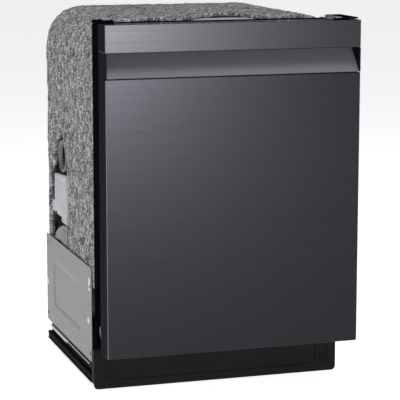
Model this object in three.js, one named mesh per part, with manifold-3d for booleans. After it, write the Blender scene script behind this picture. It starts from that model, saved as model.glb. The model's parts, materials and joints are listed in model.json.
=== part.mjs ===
// Built-in dishwasher with a top-control, pocket-handle door, drop-down hinge and three racks.
// Millimetres, +Z up. The origin is on the floor under the middle of the bounding box;
// the door faces -Y, and "left" is -X.
import * as THREE from 'three';
import { mergeVertices } from 'three/addons/utils/BufferGeometryUtils.js';
import Module from 'manifold-3d';

const wasm = await Module();
wasm.setup();

// ---- driving dimensions ----
const HALF_WIDTH = 302.5;
const DOOR_FRONT = -314.5;
const DOOR_BACK = -252;
const REAR = 314.5;
const DOOR_BOTTOM = 107;
const DOOR_TOP = 860;
const POCKET_BOTTOM = 741;
const FASCIA_BOTTOM = 797;
const SHEET = 1;
const GAP = 0.5;

const PIVOT = { y: -240, z: 125 };
const PIN_RADIUS = 4;
const PIN_HOLE_RADIUS = 4.8;

const TUB = { halfWidth: 281, front: -246, back: 286, bottom: 150, top: 855, topRadius: 74, lowRadius: 30 };
const BLANKET = { inner: 284, outer: 296, front: -180, back: 300, bottom: 240, top: 867, radius: 90 };
const POST = { inner: 286, outer: 300, front: -250, back: -187, bottom: 60 };
const RAIL_TOP = 858.5;
const PANEL = { outer: 300, front: -157, back: 313, bottom: 60, top: 287 };
const BASE = { halfWidth: 290, front: -148, back: 306, bottom: 14, top: 58, wall: 3 };
const TOE = { front: -183, bottom: 2, shoulder: 99, top: 149, thickness: 2 };
const FOOT = { x: 262, front: -112, rear: 262, padRadius: 22, stemRadius: 6, stemTop: 95 };
const PLINTH_BOTTOM = 8;

const CENTRE_Y = 20;
const SHAFT_Z = 60;
const FILTER = { x: 68, y: 62, radius: 37 };
const WIRE = 4;
const COLUMNS = 6;
const ROWS = 4;
const LOWER_RACK = { halfWidth: 252, front: -215, back: 225, bottom: 226, top: 345 };
const UPPER_RACK = { halfWidth: 250, front: -215, back: 225, bottom: 548, top: 660 };
const THIRD_RACK = { halfWidth: 262, front: -215, back: 225, bottom: 745, top: 792 };
const PAN = { halfWidth: 255, bottom: 175, top: 815, back: -240 };
const DISPENSER = { left: -130, right: 110, bottom: 425, top: 545, back: -230 };

// ---- materials ----
const paint = (color, roughness, metalness) =>
  new THREE.MeshStandardMaterial({ color, roughness, metalness });
const BLACK_STEEL = paint(0x3a3b40, 0.32, 0.9);
const BLACK_PAINT = paint(0x101012, 0.4, 0.3);
const BLACK_PLASTIC = paint(0x0c0c0d, 0.5, 0);
const STAINLESS = paint(0xc4c6c8, 0.25, 1);
const GALVANISED = paint(0x9a9c9f, 0.42, 0.8);
const FELT = paint(0x77787c, 0.95, 0);
const WHITE_PLASTIC = paint(0xc9cbcd, 0.5, 0);
const GREY_PLASTIC = paint(0x6d6f73, 0.55, 0);
const RUBBER = paint(0x18181a, 0.85, 0);
const RACK_NYLON = paint(0x8f949b, 0.45, 0);

// ---- shape helpers ----
function solid(geometry) {
  const bare = geometry.index ? geometry.toNonIndexed() : geometry.clone();
  for (const name of Object.keys(bare.attributes)) {
    if (name !== 'position') bare.deleteAttribute(name);
  }
  const merged = mergeVertices(bare, 1e-4);
  return new wasm.Manifold(new wasm.Mesh({
    numProp: 3,
    vertProperties: new Float32Array(merged.attributes.position.array),
    triVerts: new Uint32Array(merged.index.array),
  }));
}

function join(first, ...others) {
  return others.reduce((whole, piece) => whole.add(piece), first);
}

function cut(first, ...others) {
  return others.reduce((whole, piece) => whole.subtract(piece), first);
}

// A block between two corners; the corners may be given in either order on each axis.
function block(xs, ys, zs) {
  const spans = [xs, ys, zs].map((pair) => [Math.min(...pair), Math.max(...pair)]);
  const [sx, sy, sz] = spans.map(([low, high]) => high - low);
  const geometry = new THREE.BoxGeometry(sx, sy, sz);
  geometry.translate(...spans.map(([low, high]) => (low + high) / 2));
  return solid(geometry);
}

function outline(points) {
  return new THREE.Shape(points.map(([a, b]) => new THREE.Vector2(a, b)));
}

function extrude(shape, depth) {
  return new THREE.ExtrudeGeometry(shape, { depth, bevelEnabled: false, curveSegments: 6, steps: 1 });
}

// Prisms of an outline: along Z from [x, y] points, along X from [y, z] points, along Y from [z, x] points.
function prismZ(shape, z0, z1) {
  const geometry = extrude(shape, z1 - z0);
  geometry.translate(0, 0, z0);
  return solid(geometry);
}

function prismX(shape, x0, x1) {
  const geometry = extrude(shape, Math.abs(x1 - x0));
  geometry.applyMatrix4(new THREE.Matrix4().set(
    0, 0, 1, Math.min(x0, x1), 1, 0, 0, 0, 0, 1, 0, 0, 0, 0, 0, 1));
  return solid(geometry);
}

function prismY(shape, y0, y1) {
  const geometry = extrude(shape, y1 - y0);
  geometry.applyMatrix4(new THREE.Matrix4().set(0, 1, 0, 0, 0, 0, 1, y0, 1, 0, 0, 0, 0, 0, 0, 1));
  return solid(geometry);
}

function roundedPoints(a0, a1, b0, b1, radii, steps = 4) {
  const [lowLow, highLow, highHigh, lowHigh] = Array.isArray(radii) ? radii : [radii, radii, radii, radii];
  const corners = [
    [a0 + lowLow, b0 + lowLow, lowLow, Math.PI],
    [a1 - highLow, b0 + highLow, highLow, 1.5 * Math.PI],
    [a1 - highHigh, b1 - highHigh, highHigh, 0],
    [a0 + lowHigh, b1 - lowHigh, lowHigh, 0.5 * Math.PI],
  ];
  return corners.flatMap(([ca, cb, radius, start]) => {
    if (radius === 0) return [[ca, cb]];
    return Array.from({ length: steps + 1 }, (_, i) => {
      const angle = start + (i / steps) * 0.5 * Math.PI;
      return [ca + radius * Math.cos(angle), cb + radius * Math.sin(angle)];
    });
  });
}

function disc(x, y, radius, z0, z1, sides = 20) {
  const geometry = new THREE.CylinderGeometry(radius, radius, z1 - z0, sides);
  geometry.rotateX(Math.PI / 2);
  geometry.translate(x, y, (z0 + z1) / 2);
  return solid(geometry);
}

function rodX(y, z, radius, x0, x1, sides = 16) {
  const geometry = new THREE.CylinderGeometry(radius, radius, Math.abs(x1 - x0), sides);
  geometry.rotateZ(Math.PI / 2);
  geometry.translate((x0 + x1) / 2, y, z);
  return solid(geometry);
}

function rodY(x, z, radius, y0, y1, sides = 16) {
  const geometry = new THREE.CylinderGeometry(radius, radius, y1 - y0, sides);
  geometry.translate(x, (y0 + y1) / 2, z);
  return solid(geometry);
}

function part(name, shape, material) {
  const mesh = shape.getMesh();
  const geometry = new THREE.BufferGeometry();
  geometry.setAttribute('position', new THREE.BufferAttribute(new Float32Array(mesh.vertProperties), 3));
  geometry.setIndex(new THREE.BufferAttribute(new Uint32Array(mesh.triVerts), 1));
  geometry.computeVertexNormals();
  const node = new THREE.Mesh(geometry, material);
  node.name = name;
  return node;
}

const SIDES = [['left', -1], ['right', 1]];
const cabinet = new THREE.Group();
const door = new THREE.Group();
const racks = new THREE.Group();

// ---- tub: a deep-drawn arched shell, open to the front, with a round sump hole in its floor ----
// In prismY outlines the first coordinate is height and the second is width.
function tubOutline(inset) {
  const { halfWidth, bottom, top, topRadius, lowRadius } = TUB;
  const low = lowRadius - inset;
  const high = topRadius - inset;
  return outline(roundedPoints(
    bottom + inset, top - inset, -halfWidth + inset, halfWidth - inset, [low, high, high, low], 5));
}

const SUMP_HOLE_RADIUS = 126;
function makeTub() {
  const outer = prismY(tubOutline(0), TUB.front, TUB.back);
  const hollow = prismY(tubOutline(SHEET), TUB.front - 1, TUB.back - SHEET);
  const drain = disc(0, CENTRE_Y, SUMP_HOLE_RADIUS, TUB.bottom - 5, TUB.bottom + 5, 24);
  return part('tub', cut(outer, hollow, drain), STAINLESS);
}

function makeGasket() {
  const width = 9;
  const ring = cut(
    prismY(tubOutline(0), TUB.front - 5.4, TUB.front - GAP),
    prismY(tubOutline(width), TUB.front - 6, TUB.front));
  const openBottom = block([-400, 400], [TUB.front - 7, TUB.front + 1], [0, 185]);
  return part('door_gasket', cut(ring, openBottom), RUBBER);
}

// ---- front frame ----
const RECESS = { bottom: 150, top: 251, web: 289.5, back: -195 };
function makePost([side, s]) {
  const heights = [RECESS.bottom - 10, TUB.top + GAP];
  const column = block([s * POST.inner, s * POST.outer], [POST.front, POST.back], heights);
  const recess = block([s * RECESS.web, s * 310], [POST.front - 5, RECESS.back], [100, RECESS.top]);
  const swingRoom = block([s * 280, s * 310], [POST.front - 5, -203], [100, RECESS.bottom]);
  const skirt = prismX(outline([
    [-203, 101], [-179.5, 101], [-179.5, POST.bottom], [-160, POST.bottom], [-160, 152], [-203, 152]]),
  s * 297, s * POST.outer);
  return part(`frame_post_${side}`, join(cut(column, recess, swingRoom), skirt), BLACK_PAINT);
}

function makeTopRail() {
  const strip = block([-POST.outer, POST.outer], [POST.front, POST.back - 5], [TUB.top + 1.5, RAIL_TOP]);
  const face = cut(
    block([-POST.inner + GAP, POST.inner - GAP], [POST.front, POST.front + 2.5], [770, RAIL_TOP]),
    prismY(tubOutline(-1), POST.front - 1, POST.front + 5));
  const capLeft = block([-301, -281], [POST.front, POST.back - 5], [RAIL_TOP - 1, 865.5]);
  const capRight = block([263, 301], [POST.front, POST.back - 5], [RAIL_TOP - 1, 865.5]);
  const visor = block([264, 301], [-300, POST.back - 6], [862, 865.5]);
  return part('frame_top_rail', join(strip, face, capLeft, capRight, visor), BLACK_PAINT);
}

const BRACKET = { near: 246, far: 262, top: 866 };
function makeMountBracket([side, s]) {
  const far = s < 0 ? BRACKET.far + 18 : BRACKET.far;
  const near = s < 0 ? BRACKET.near + 18 : BRACKET.near;
  const xs = [s * near, s * far];
  const front = POST.front + 3;
  const foot = block(xs, [front, POST.back - 8], [RAIL_TOP + GAP, RAIL_TOP + 2]);
  const tab = block(xs, [front, front + 1.5], [RAIL_TOP + GAP, BRACKET.top]);
  const ledgeFront = s < 0 ? front : -296;
  const ledge = block(xs, [ledgeFront, front + 21], [BRACKET.top - 1.5, BRACKET.top]);
  return part(`mount_bracket_${side}`, join(foot, tab, ledge), GALVANISED);
}

// ---- hinge: a bracket plate with a fixed pin on each side; the door's arm turns on it ----
function makeHingePin([side, s]) {
  const plate = prismX(outline([
    [PIVOT.y - 8, PIVOT.z - 4], [PIVOT.y + 4, PIVOT.z - 9], [PIVOT.y + 20, PIVOT.z - 4],
    [-160, PIVOT.z - 4], [-160, PIVOT.z + 70], [PIVOT.y - 8, PIVOT.z + 70],
  ]), s * 282.4, s * 285.4);
  const pin = rodX(PIVOT.y, PIVOT.z, PIN_RADIUS, s * 284, s * 299);
  return part(`hinge_pin_${side}`, join(plate, pin), GALVANISED);
}

function makeHingeArm([side, s]) {
  const planes = [s * 291, s * 294.5];
  const strap = prismX(outline([[-300, 150], [-246, 128], [-246, 248], [-300, 248]]), ...planes);
  const knuckle = rodX(PIVOT.y, PIVOT.z, 11, ...planes, 20);
  const bridge = prismX(outline([
    [-262, 134], [PIVOT.y, PIVOT.z - 10], [PIVOT.y + 8, PIVOT.z + 8], [-246, 160]]), ...planes);
  const tail = prismX(outline([
    [PIVOT.y - 4, PIVOT.z], [PIVOT.y + 8, PIVOT.z - 4], [PIVOT.y + 34, PIVOT.z + 26],
    [PIVOT.y + 26, PIVOT.z + 36]]), ...planes);
  const hole = rodX(PIVOT.y, PIVOT.z, PIN_HOLE_RADIUS, s * 280, s * 300, 20);
  return part(`hinge_arm_${side}`, cut(join(strap, knuckle, bridge, tail), hole), GALVANISED);
}

// ---- insulation blanket: an arched felt cover over the tub, notched on the left for the air break ----
function archOutline(halfWidth, top, radius) {
  return outline(roundedPoints(BLANKET.bottom, top, -halfWidth, halfWidth, [0, radius, radius, 0], 6));
}

function makeBlanket() {
  const { inner, outer, front, back, top, radius } = BLANKET;
  const thickness = outer - inner;
  const shell = cut(
    prismY(archOutline(outer, top, radius), front - 12, back),
    prismY(archOutline(inner, top - thickness + 1, radius - thickness), front - 20, back - thickness + 2));
  const sideTrim = block([-400, 400], [front - 30, front], [0, top - 40]);
  const arc = new THREE.Shape();
  arc.moveTo(-90, front - 40);
  arc.lineTo(-84, front - 12);
  arc.bezierCurveTo(-30, -110, 20, -64, 55, -62);
  arc.bezierCurveTo(85, -62, 100, -120, 112, front - 12);
  arc.lineTo(120, front - 40);
  const topArc = prismZ(arc, top - 60, top + 10);
  const notch = prismX(outline([
    [88, 200], [88, 300], [89, 450], [96, 490], [101, 512], [130, 548], [162, 574], [190, 548],
    [222, 516], [236, 480], [280, 448], [281, 330], [262, 286], [246, 200],
  ]), -outer - 5, -inner + 3);
  return part('blanket_wrap', cut(shell, sideTrim, topArc, notch), FELT);
}

// ---- air break, vent and inlet on the left wall, seen through the notch in the blanket ----
function makeAirBreak() {
  const body = prismX(outline([
    [92, 363], [108, 352], [206, 352], [234, 368], [233, 453], [99, 464]]), -297, -283);
  const tab = block([-294, -285], [230, 264], [354, 382]);
  const neck = prismX(outline([[98, 341], [156, 341], [162, 356], [98, 356]]), -296, -284);
  return part('air_break', join(body, tab, neck), WHITE_PLASTIC);
}

function makeVentRing() {
  const profile = [[0, 0], [40, 0], [40, 11], [33, 11], [33, 2], [0, 2]];
  const lathe = new THREE.LatheGeometry(profile.map(([r, h]) => new THREE.Vector2(r, h)), 24);
  lathe.rotateZ(Math.PI / 2);
  lathe.translate(-282.6, 156, 506);
  const ring = solid(lathe);
  return part('vent_ring', ring, GREY_PLASTIC);
}

function makeInletElbow() {
  const bend = outline([
    [100, 340], [150, 335], [190, 323], [222, 308], [240, 290], [238, 264], [214, 260], [204, 280],
    [182, 292], [166, 284], [158, 244], [100, 244]]);
  return part('inlet_elbow', prismX(bend, -295.5, -283.5), WHITE_PLASTIC);
}

// ---- galvanised side panels with a pressed rounded field ----
// The field's cup stands behind the plate, and its opening is cut out of the plate's outer face.
function pressedPlate(prism, field, levels, grow) {
  const { outerFace, skin, depth } = levels;
  const d = Math.sign(outerFace);
  const hole = outline(roundedPoints(...field, 22));
  const rim = outline(roundedPoints(field[0] - grow, field[1] + grow, field[2] - grow, field[3] + grow, 24));
  const from = outerFace - d * (skin + depth);
  return {
    opening: prism(hole, outerFace + d * 2, outerFace - d * depth),
    cup: prism(rim, outerFace - d * 0.2, from),
  };
}

function makeSidePanel([side, s]) {
  const skin = 1.5;
  const depth = 3;
  const edge = outline(roundedPoints(PANEL.front, PANEL.back, PANEL.bottom, PANEL.top, [10, 6, 2, 2], 3));
  const plate = prismX(edge, s * (PANEL.outer - skin), s * PANEL.outer);
  const { opening, cup } = pressedPlate(prismX, [-54, 236, 110, 231],
    { outerFace: s * PANEL.outer, skin, depth }, 1.5);
  return part(`side_panel_${side}`, cut(join(plate, cup), opening), GALVANISED);
}

// ---- base pan: an open tray with side rails, foot bosses and a front lip ----
const FOOT_PLACES = [
  ['front_left', -FOOT.x, FOOT.front], ['front_right', FOOT.x, FOOT.front],
  ['rear_left', -FOOT.x, FOOT.rear], ['rear_right', FOOT.x, FOOT.rear],
];

function makeBasePan() {
  const { halfWidth, front, back, bottom, top, wall } = BASE;
  const tray = cut(
    block([-halfWidth, halfWidth], [front, back], [bottom, top]),
    block([-halfWidth + wall, halfWidth - wall], [front + wall, back - wall], [bottom + wall, top + 5]));
  const rails = SIDES.map(([, s]) =>
    block([s * (halfWidth - 1), s * 298], [-143, REAR], [PLINTH_BOTTOM, 28]));
  const bosses = FOOT_PLACES.map(([, x, y]) => disc(x, y, 12, bottom, top, 16));
  const bores = FOOT_PLACES.map(([, x, y]) => disc(x, y, FOOT.stemRadius + 1, bottom - 5, top + 5, 16));
  return part('base_pan', cut(join(tray, ...rails, ...bosses), ...bores), BLACK_PLASTIC);
}

function makeFoot([place, x, y]) {
  const pad = disc(x, y, FOOT.padRadius, 0, PLINTH_BOTTOM, 20);
  const stem = disc(x, y, FOOT.stemRadius, PLINTH_BOTTOM - 1, FOOT.stemTop, 12);
  return part(`foot_${place}`, join(pad, stem), BLACK_PLASTIC);
}

function makeLegRod() {
  const sleeve = rodY(-294.5, 50, 3.6, 112, 270, 12);
  const shaft = rodY(-294.5, 50, 1.4, -106, 292, 8);
  return part('leg_rod', join(sleeve, shaft), WHITE_PLASTIC);
}

// ---- toe panel: a pressed plate with an obround fastener slot near each end ----
function makeToePanel() {
  const { front, bottom, shoulder, top, thickness } = TOE;
  const plate = join(
    prismY(outline(roundedPoints(bottom, shoulder, -302, 302, [10, 2, 2, 10], 4)), front, front + thickness),
    block([-279, 279], [front, front + thickness], [shoulder - 5, top]));
  const wings = SIDES.map(([, s]) =>
    block([s * 300.5, s * 302], [front + 1, -162], [bottom + 12, shoulder - 2]));
  const lip = block([-290, 290], [front + 1, front + 14], [bottom, bottom + 1.5]);
  const recess = pressedPlate((shape, a, b) => prismY(shape, Math.min(a, b), Math.max(a, b)),
    [21, 132, -250, 250], { outerFace: front, skin: thickness, depth: 2.5 }, 1.5);
  const slots = SIDES.map(([, s]) =>
    prismY(outline(roundedPoints(24, 70, s * 269 - 11, s * 269 + 11, 10.9, 4)), front - 5, front + 5));
  const whole = join(plate, recess.cup, lip, ...wings);
  return part('toe_panel', cut(whole, recess.opening, ...slots), BLACK_PAINT);
}

// ---- rear brace and services under the tub ----
function makeRearBrace() {
  const bar = block([-250, 250], [304, 312], [330, 370]);
  const flanges = SIDES.map(([, s]) => block([s * 250, s * 294], [302, 305.5], [300, 400]));
  const trim = block([-230, 230], [307, 320], [338, 362]);
  return part('rear_brace', cut(join(bar, ...flanges), trim), GALVANISED);
}

function makeInletValve() {
  const body = block([-226, -176], [246, 284], [70, 118]);
  const spigot = rodY(-201, 96, 13, 280, 300, 14);
  const coils = join(disc(-214, 265, 11, 116, 140, 12), disc(-188, 265, 11, 116, 140, 12));
  return part('inlet_valve', join(body, spigot, coils), WHITE_PLASTIC);
}

function makeJunctionBox() {
  const shell = cut(
    block([150, 240], [-140, -60], [18, 92]),
    block([152, 238], [-142, -62], [20, 90]));
  return part('junction_box', shell, GALVANISED);
}

function makeSump() {
  const rim = SUMP_HOLE_RADIUS - 2;
  const bowl = cut(disc(0, CENTRE_Y, rim, 96, TUB.bottom - GAP, 24), disc(0, CENTRE_Y, rim - 3, 99, 160, 24));
  const well = disc(FILTER.x, FILTER.y, FILTER.radius + 7, 60, 100, 20);
  const wellHollow = disc(FILTER.x, FILTER.y, FILTER.radius + 4, 63, 130, 20);
  const hub = disc(0, CENTRE_Y, 15, 96, 184, 16);
  const volute = disc(-30, CENTRE_Y, 34, SHAFT_Z - 20, 98, 18);
  return part('sump', join(cut(join(bowl, well), wellHollow), hub, volute), GREY_PLASTIC);
}

function makeWashMotor() {
  const can = rodX(CENTRE_Y, SHAFT_Z, 34, -160, -65, 20);
  const cap = rodX(CENTRE_Y, SHAFT_Z, 24, -176, -158, 16);
  return part('wash_motor', join(can, cap), BLACK_PLASTIC);
}

function makeDrainPump() {
  const can = rodX(140, 74, 22, 96, 160, 16);
  const spigot = rodY(128, 74, 10, 155, 290, 12);
  return part('drain_pump', join(can, spigot), GREY_PLASTIC);
}

// ---- filters, float and spray arms ----
function makeFilterPlate() {
  const plate = disc(0, CENTRE_Y, 150, TUB.bottom + SHEET + GAP, TUB.bottom + 4, 28);
  const cupHole = disc(FILTER.x, FILTER.y, FILTER.radius + 2, 140, 170, 20);
  const hubHole = disc(0, CENTRE_Y, 18, 140, 170, 16);
  return part('filter_plate', cut(plate, cupHole, hubHole), STAINLESS);
}

function makeFilterCup() {
  const cup = cut(
    disc(FILTER.x, FILTER.y, FILTER.radius, 66, 160, 20),
    disc(FILTER.x, FILTER.y, FILTER.radius - 2, 68, 165, 20));
  const reach = FILTER.radius - 1;
  const grip = block([FILTER.x - 3, FILTER.x + 3], [FILTER.y - reach, FILTER.y + reach], [120, 176]);
  return part('filter_cup', join(cup, grip), GREY_PLASTIC);
}

function makeFloat() {
  const dome = new THREE.LatheGeometry(
    [[0, 0], [20, 0], [20, 24], [16, 32], [8, 36], [0, 37]].map(([r, h]) => new THREE.Vector2(r, h)), 16);
  dome.rotateX(Math.PI / 2);
  dome.translate(-200, -150, TUB.bottom + SHEET + GAP);
  return part('float_dome', solid(dome), GREY_PLASTIC);
}

function sprayArm(name, radius, z, hub) {
  const blade = outline([
    [-radius, -13], [-60, -26], [60, -26], [radius, -13],
    [radius + 6, 0], [radius, 13], [60, 26], [-60, 26], [-radius, 13], [-radius - 6, 0],
  ].map(([x, y]) => [x, y + CENTRE_Y]));
  const arm = join(prismZ(blade, z, z + 12), disc(0, CENTRE_Y, 30, z + hub[0], z + hub[1], 16));
  return part(name, arm, GREY_PLASTIC);
}

function makeFeedTube() {
  const run = outline([
    [262, 158], [280, 158], [280, 832], [266, 850], [CENTRE_Y - 18, 850], [CENTRE_Y - 18, 838], [262, 838]]);
  return part('feed_tube', prismX(run, -16, 16), GREY_PLASTIC);
}

// ---- racks ----
const tenth = (value) => Math.round(value * 10) / 10;

// The open spans between count + 1 bars of wire width that share out a length.
function spans([low, high], count) {
  const step = (high - low - WIRE) / count;
  return Array.from({ length: count }, (_, i) => [tenth(low + WIRE + i * step), tenth(low + (i + 1) * step)]);
}

// A basket is an open box with thin walls, cut through into bars on its floor and all four sides.
function basket({ halfWidth, front, back, bottom, top }) {
  const box = cut(
    block([-halfWidth, halfWidth], [front, back], [bottom, top]),
    block([-halfWidth + WIRE, halfWidth - WIRE], [front + WIRE, back - WIRE], [bottom + WIRE, top + 5]));
  const across = spans([-halfWidth, halfWidth], COLUMNS);
  const along = spans([front, back], COLUMNS);
  const side = [bottom + WIRE, top - WIRE];
  const through = [bottom - 5, bottom + WIRE + 5];
  const windows = [
    ...across.flatMap((x) => spans([front, back], ROWS).map((y) => block(x, y, through))),
    ...across.map((x) => block(x, [front - 5, back + 5], side)),
    ...along.map((y) => block([-halfWidth - 5, halfWidth + 5], y, side)),
  ];
  return cut(box, ...windows);
}

function crossBarY(rack, index) {
  return tenth(rack.front + index * (rack.back - rack.front - WIRE) / ROWS);
}

function tines(rack, index, xs, height) {
  const y = crossBarY(rack, index);
  return xs.map((x) => block([x, x + WIRE], [y, y + WIRE], [rack.bottom + 1, rack.bottom + height]));
}

const TINE_PLACES = Array.from({ length: 9 }, (_, i) => -180 + i * 42);
const WHEEL = { radius: 18, z: TUB.bottom + SHEET + 1 + 18, places: [-118, 170] };

function makeLowerRack() {
  const fixed = tines(LOWER_RACK, 3, TINE_PLACES, 84);
  const wheels = SIDES.flatMap(([, s]) => WHEEL.places.flatMap((y) => [
    rodX(y, WHEEL.z, WHEEL.radius, s * 237, s * 247, 16),
    rodX(y, WHEEL.z, 3.5, s * 245, s * 249.5, 8),
    block([s * 248.6, s * 251.4], [y - 5, y + 5], [WHEEL.z - 5, LOWER_RACK.bottom + 3]),
  ]));
  return part('lower_rack', join(basket(LOWER_RACK), ...fixed, ...wheels), RACK_NYLON);
}

const FOLD = { y: crossBarY(LOWER_RACK, 2) + WIRE / 2, z: 234 };
function makeTineRow() {
  const rod = rodX(FOLD.y, FOLD.z, 2.4, -200, 200, 8);
  const spikes = TINE_PLACES.map((x) =>
    block([x, x + 3], [FOLD.y - 1.5, FOLD.y + 1.5], [FOLD.z, FOLD.z + 70]));
  return part('tine_row', join(rod, ...spikes), RACK_NYLON);
}

const CUTLERY = { halfWidth: 190, front: -206, back: -130, bottom: 230.5, top: 342, wall: 3 };
function makeSilverwareBasket() {
  const { halfWidth, front, back, bottom, top, wall } = CUTLERY;
  const cell = (2 * halfWidth - 5 * wall) / 4;
  const cells = [0, 1, 2, 3].map((i) => {
    const left = -halfWidth + wall + i * (cell + wall);
    return block([left, left + cell], [front + wall, back - wall], [bottom + wall, top + 5]);
  });
  const outside = block([-halfWidth, halfWidth], [front, back], [bottom, top]);
  return part('silverware_basket', cut(outside, ...cells), GREY_PLASTIC);
}

function makeUpperRack() {
  const rows = [1, 3].flatMap((index) => tines(UPPER_RACK, index, TINE_PLACES, 60));
  const manifoldTube = block([-13, 13], [CENTRE_Y, 256], [UPPER_RACK.bottom - 12, UPPER_RACK.bottom + 2]);
  const hub = disc(0, CENTRE_Y, 22, UPPER_RACK.bottom - 12, UPPER_RACK.bottom + 2, 16);
  return part('upper_rack', join(basket(UPPER_RACK), ...rows, manifoldTube, hub), RACK_NYLON);
}

function makeThirdRack() {
  const runnerHeights = [THIRD_RACK.top - 12, THIRD_RACK.top - 6];
  const runners = SIDES.map(([, s]) => block([s * 258, s * 268], [-205, 215], runnerHeights));
  return part('third_rack', join(basket(THIRD_RACK), ...runners), RACK_NYLON);
}

function makeRackRail([side, s]) {
  const web = block([s * 270, s * 271.5], [-214, 214], [578, 604]);
  const lips = [578, 602.5].map((z) => block([s * 262, s * 271], [-214, 214], [z, z + 1.5]));
  return part(`rack_rail_${side}`, join(web, ...lips), STAINLESS);
}

// ---- door shell ----
// Both door sheets are trays folded from one sheet, open at the back.
function makeOuterPanel() {
  const inner = HALF_WIDTH - SHEET;
  const tray = cut(
    block([-HALF_WIDTH, HALF_WIDTH], [DOOR_FRONT, DOOR_BACK - 2], [DOOR_BOTTOM, POCKET_BOTTOM]),
    block([-inner, inner], [DOOR_FRONT + SHEET, DOOR_BACK + 5], [DOOR_BOTTOM + SHEET, POCKET_BOTTOM - SHEET]),
    block([-inner, inner], [DOOR_FRONT + 9, DOOR_BACK + 5], [POCKET_BOTTOM - 2, POCKET_BOTTOM + 5]));
  return part('door_outer_panel', tray, BLACK_STEEL);
}

function makeFascia() {
  const inner = HALF_WIDTH - SHEET;
  const low = FASCIA_BOTTOM + GAP;
  const tray = cut(
    block([-HALF_WIDTH, HALF_WIDTH], [DOOR_FRONT, DOOR_BACK - 2], [low, DOOR_TOP]),
    block([-inner, inner], [DOOR_FRONT + SHEET, DOOR_BACK + 5], [low + SHEET, DOOR_TOP + 5]));
  return part('console_fascia', tray, BLACK_STEEL);
}

// The scoop rises from the panel's top edge to the back of the pocket in a shallow curve.
const SCOOP = [
  [-313.5, 742], [-304, 746.5], [-292, 756], [-279, 768], [-268, 780], [-263, 790], [-262, FASCIA_BOTTOM]];
function makePocket() {
  const wall = 2.5;
  const slant = wall * 0.8;
  const backSide = [...SCOOP].reverse().map(([y, z], i) => (i < 3 ? [y + wall, z] : [y + slant, z - slant]));
  const foot = [[-300, 742]];
  const scoop = prismX(outline([...SCOOP, ...backSide.slice(0, -2), ...foot]), -300, 300);
  const cheeks = SIDES.map(([, s]) => prismX(outline([
    [DOOR_FRONT + SHEET, POCKET_BOTTOM + GAP], [-256, POCKET_BOTTOM + GAP],
    [-256, FASCIA_BOTTOM], [DOOR_FRONT + SHEET, FASCIA_BOTTOM],
  ]), s * 299, s * HALF_WIDTH));
  return part('handle_pocket', join(scoop, ...cheeks), BLACK_PLASTIC);
}

const BUTTONS = [['power', -232, 10], ['select', 60, 7], ['start', 226, 10]];
const BUTTON_Y = -284;
function makeConsoleTop() {
  const cover = block([-301, 301], [DOOR_FRONT + SHEET + GAP, DOOR_BACK], [DOOR_TOP - 5, DOOR_TOP - 0.2]);
  const wells = BUTTONS.map(([, x, radius]) => disc(x, BUTTON_Y, radius + GAP, 840, 870, 20));
  return part('console_top', cut(cover, ...wells), BLACK_PLASTIC);
}

function makeButton([name, x, radius]) {
  return part(`button_${name}`, disc(x, BUTTON_Y, radius, DOOR_TOP - 8, DOOR_TOP - 0.4, 20), BLACK_PLASTIC);
}

function makeControlModule() {
  return part('control_module', block([-250, -40], [-306, -262], [806, 846]), WHITE_PLASTIC);
}

function makeLatch() {
  const body = block([-28, 28], [-300, -256], [806, 850]);
  const mouth = block([-14, 14], [-288, -250], [821, 842]);
  const pawlWell = block([-8, 8], [-278, -266], [809, 823]);
  return part('door_latch', cut(body, mouth, pawlWell), BLACK_PLASTIC);
}

function makeLatchPawl() {
  const pawl = prismX(outline([[-277, 810], [-267, 810], [-267, 824], [-272, 827.5], [-277, 824]]), -7, 7);
  return part('latch_pawl', pawl, STAINLESS);
}

function makeStrike() {
  const hanger = block([-22, 22], [-240, -238], [828, 852]);
  const roof = block([-22, 22], [-240, -215], [850, 852]);
  const tongue = block([-10, 10], [-264, -238], [829, 832]);
  return part('latch_strike', join(hanger, roof, tongue), STAINLESS);
}

function makeInsulation() {
  const pad = prismY(outline(roundedPoints(124, 724, -278, 278, 12, 3)), -311, -286);
  return part('door_insulation', pad, FELT);
}

// The liner is a flat sheet with a raised pan that reaches into the tub's mouth.
function makeLiner() {
  const back = DOOR_BACK;
  const sheet = block([-286, 286], [back - SHEET, back], [112, 852]);
  const rim = outline(roundedPoints(PAN.bottom, PAN.top, -PAN.halfWidth, PAN.halfWidth, 30, 4));
  const core = outline(roundedPoints(
    PAN.bottom + SHEET, PAN.top - SHEET, -PAN.halfWidth + SHEET, PAN.halfWidth - SHEET, 29, 4));
  const pan = prismY(rim, back - SHEET, PAN.back);
  const hollow = prismY(core, back - 5, PAN.back - SHEET);
  const dispenserHole = block([DISPENSER.left + 6, DISPENSER.right - 6], [back - 9, PAN.back + 5],
    [DISPENSER.bottom + 6, DISPENSER.top - 6]);
  const latchHole = block([-16, 16], [back - 9, back + 5], [820, 844]);
  return part('inner_liner', cut(join(sheet, pan), hollow, dispenserHole, latchHole), STAINLESS);
}

const CUP = { left: -30, right: 45, bottom: 444, top: 528, back: -248 };
const LID_BACK = DISPENSER.back + 4;
const LID = { left: -36, right: 51, bottom: 438, top: 534, front: DISPENSER.back + GAP, back: LID_BACK };
const RINSE = { x: 80, z: 487, radius: 17 };

function makeDispenser() {
  const { left, right, bottom, top, back } = DISPENSER;
  const face = prismY(outline(roundedPoints(bottom, top, left, right, 12, 3)), PAN.back + GAP, back);
  const tank = block([left + 8, right - 8], [-258, PAN.back + 1], [bottom + 8, top - 8]);
  const cup = block([CUP.left, CUP.right], [CUP.back, back + 5], [CUP.bottom, CUP.top]);
  return part('dispenser_body', cut(join(face, tank), cup), GREY_PLASTIC);
}

function makeDispenserLid() {
  const edge = outline(roundedPoints(LID.bottom, LID.top, LID.left, LID.right, 8, 3));
  const plate = prismY(edge, LID.front, LID.back);
  return part('dispenser_lid', plate, GREY_PLASTIC);
}

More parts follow.
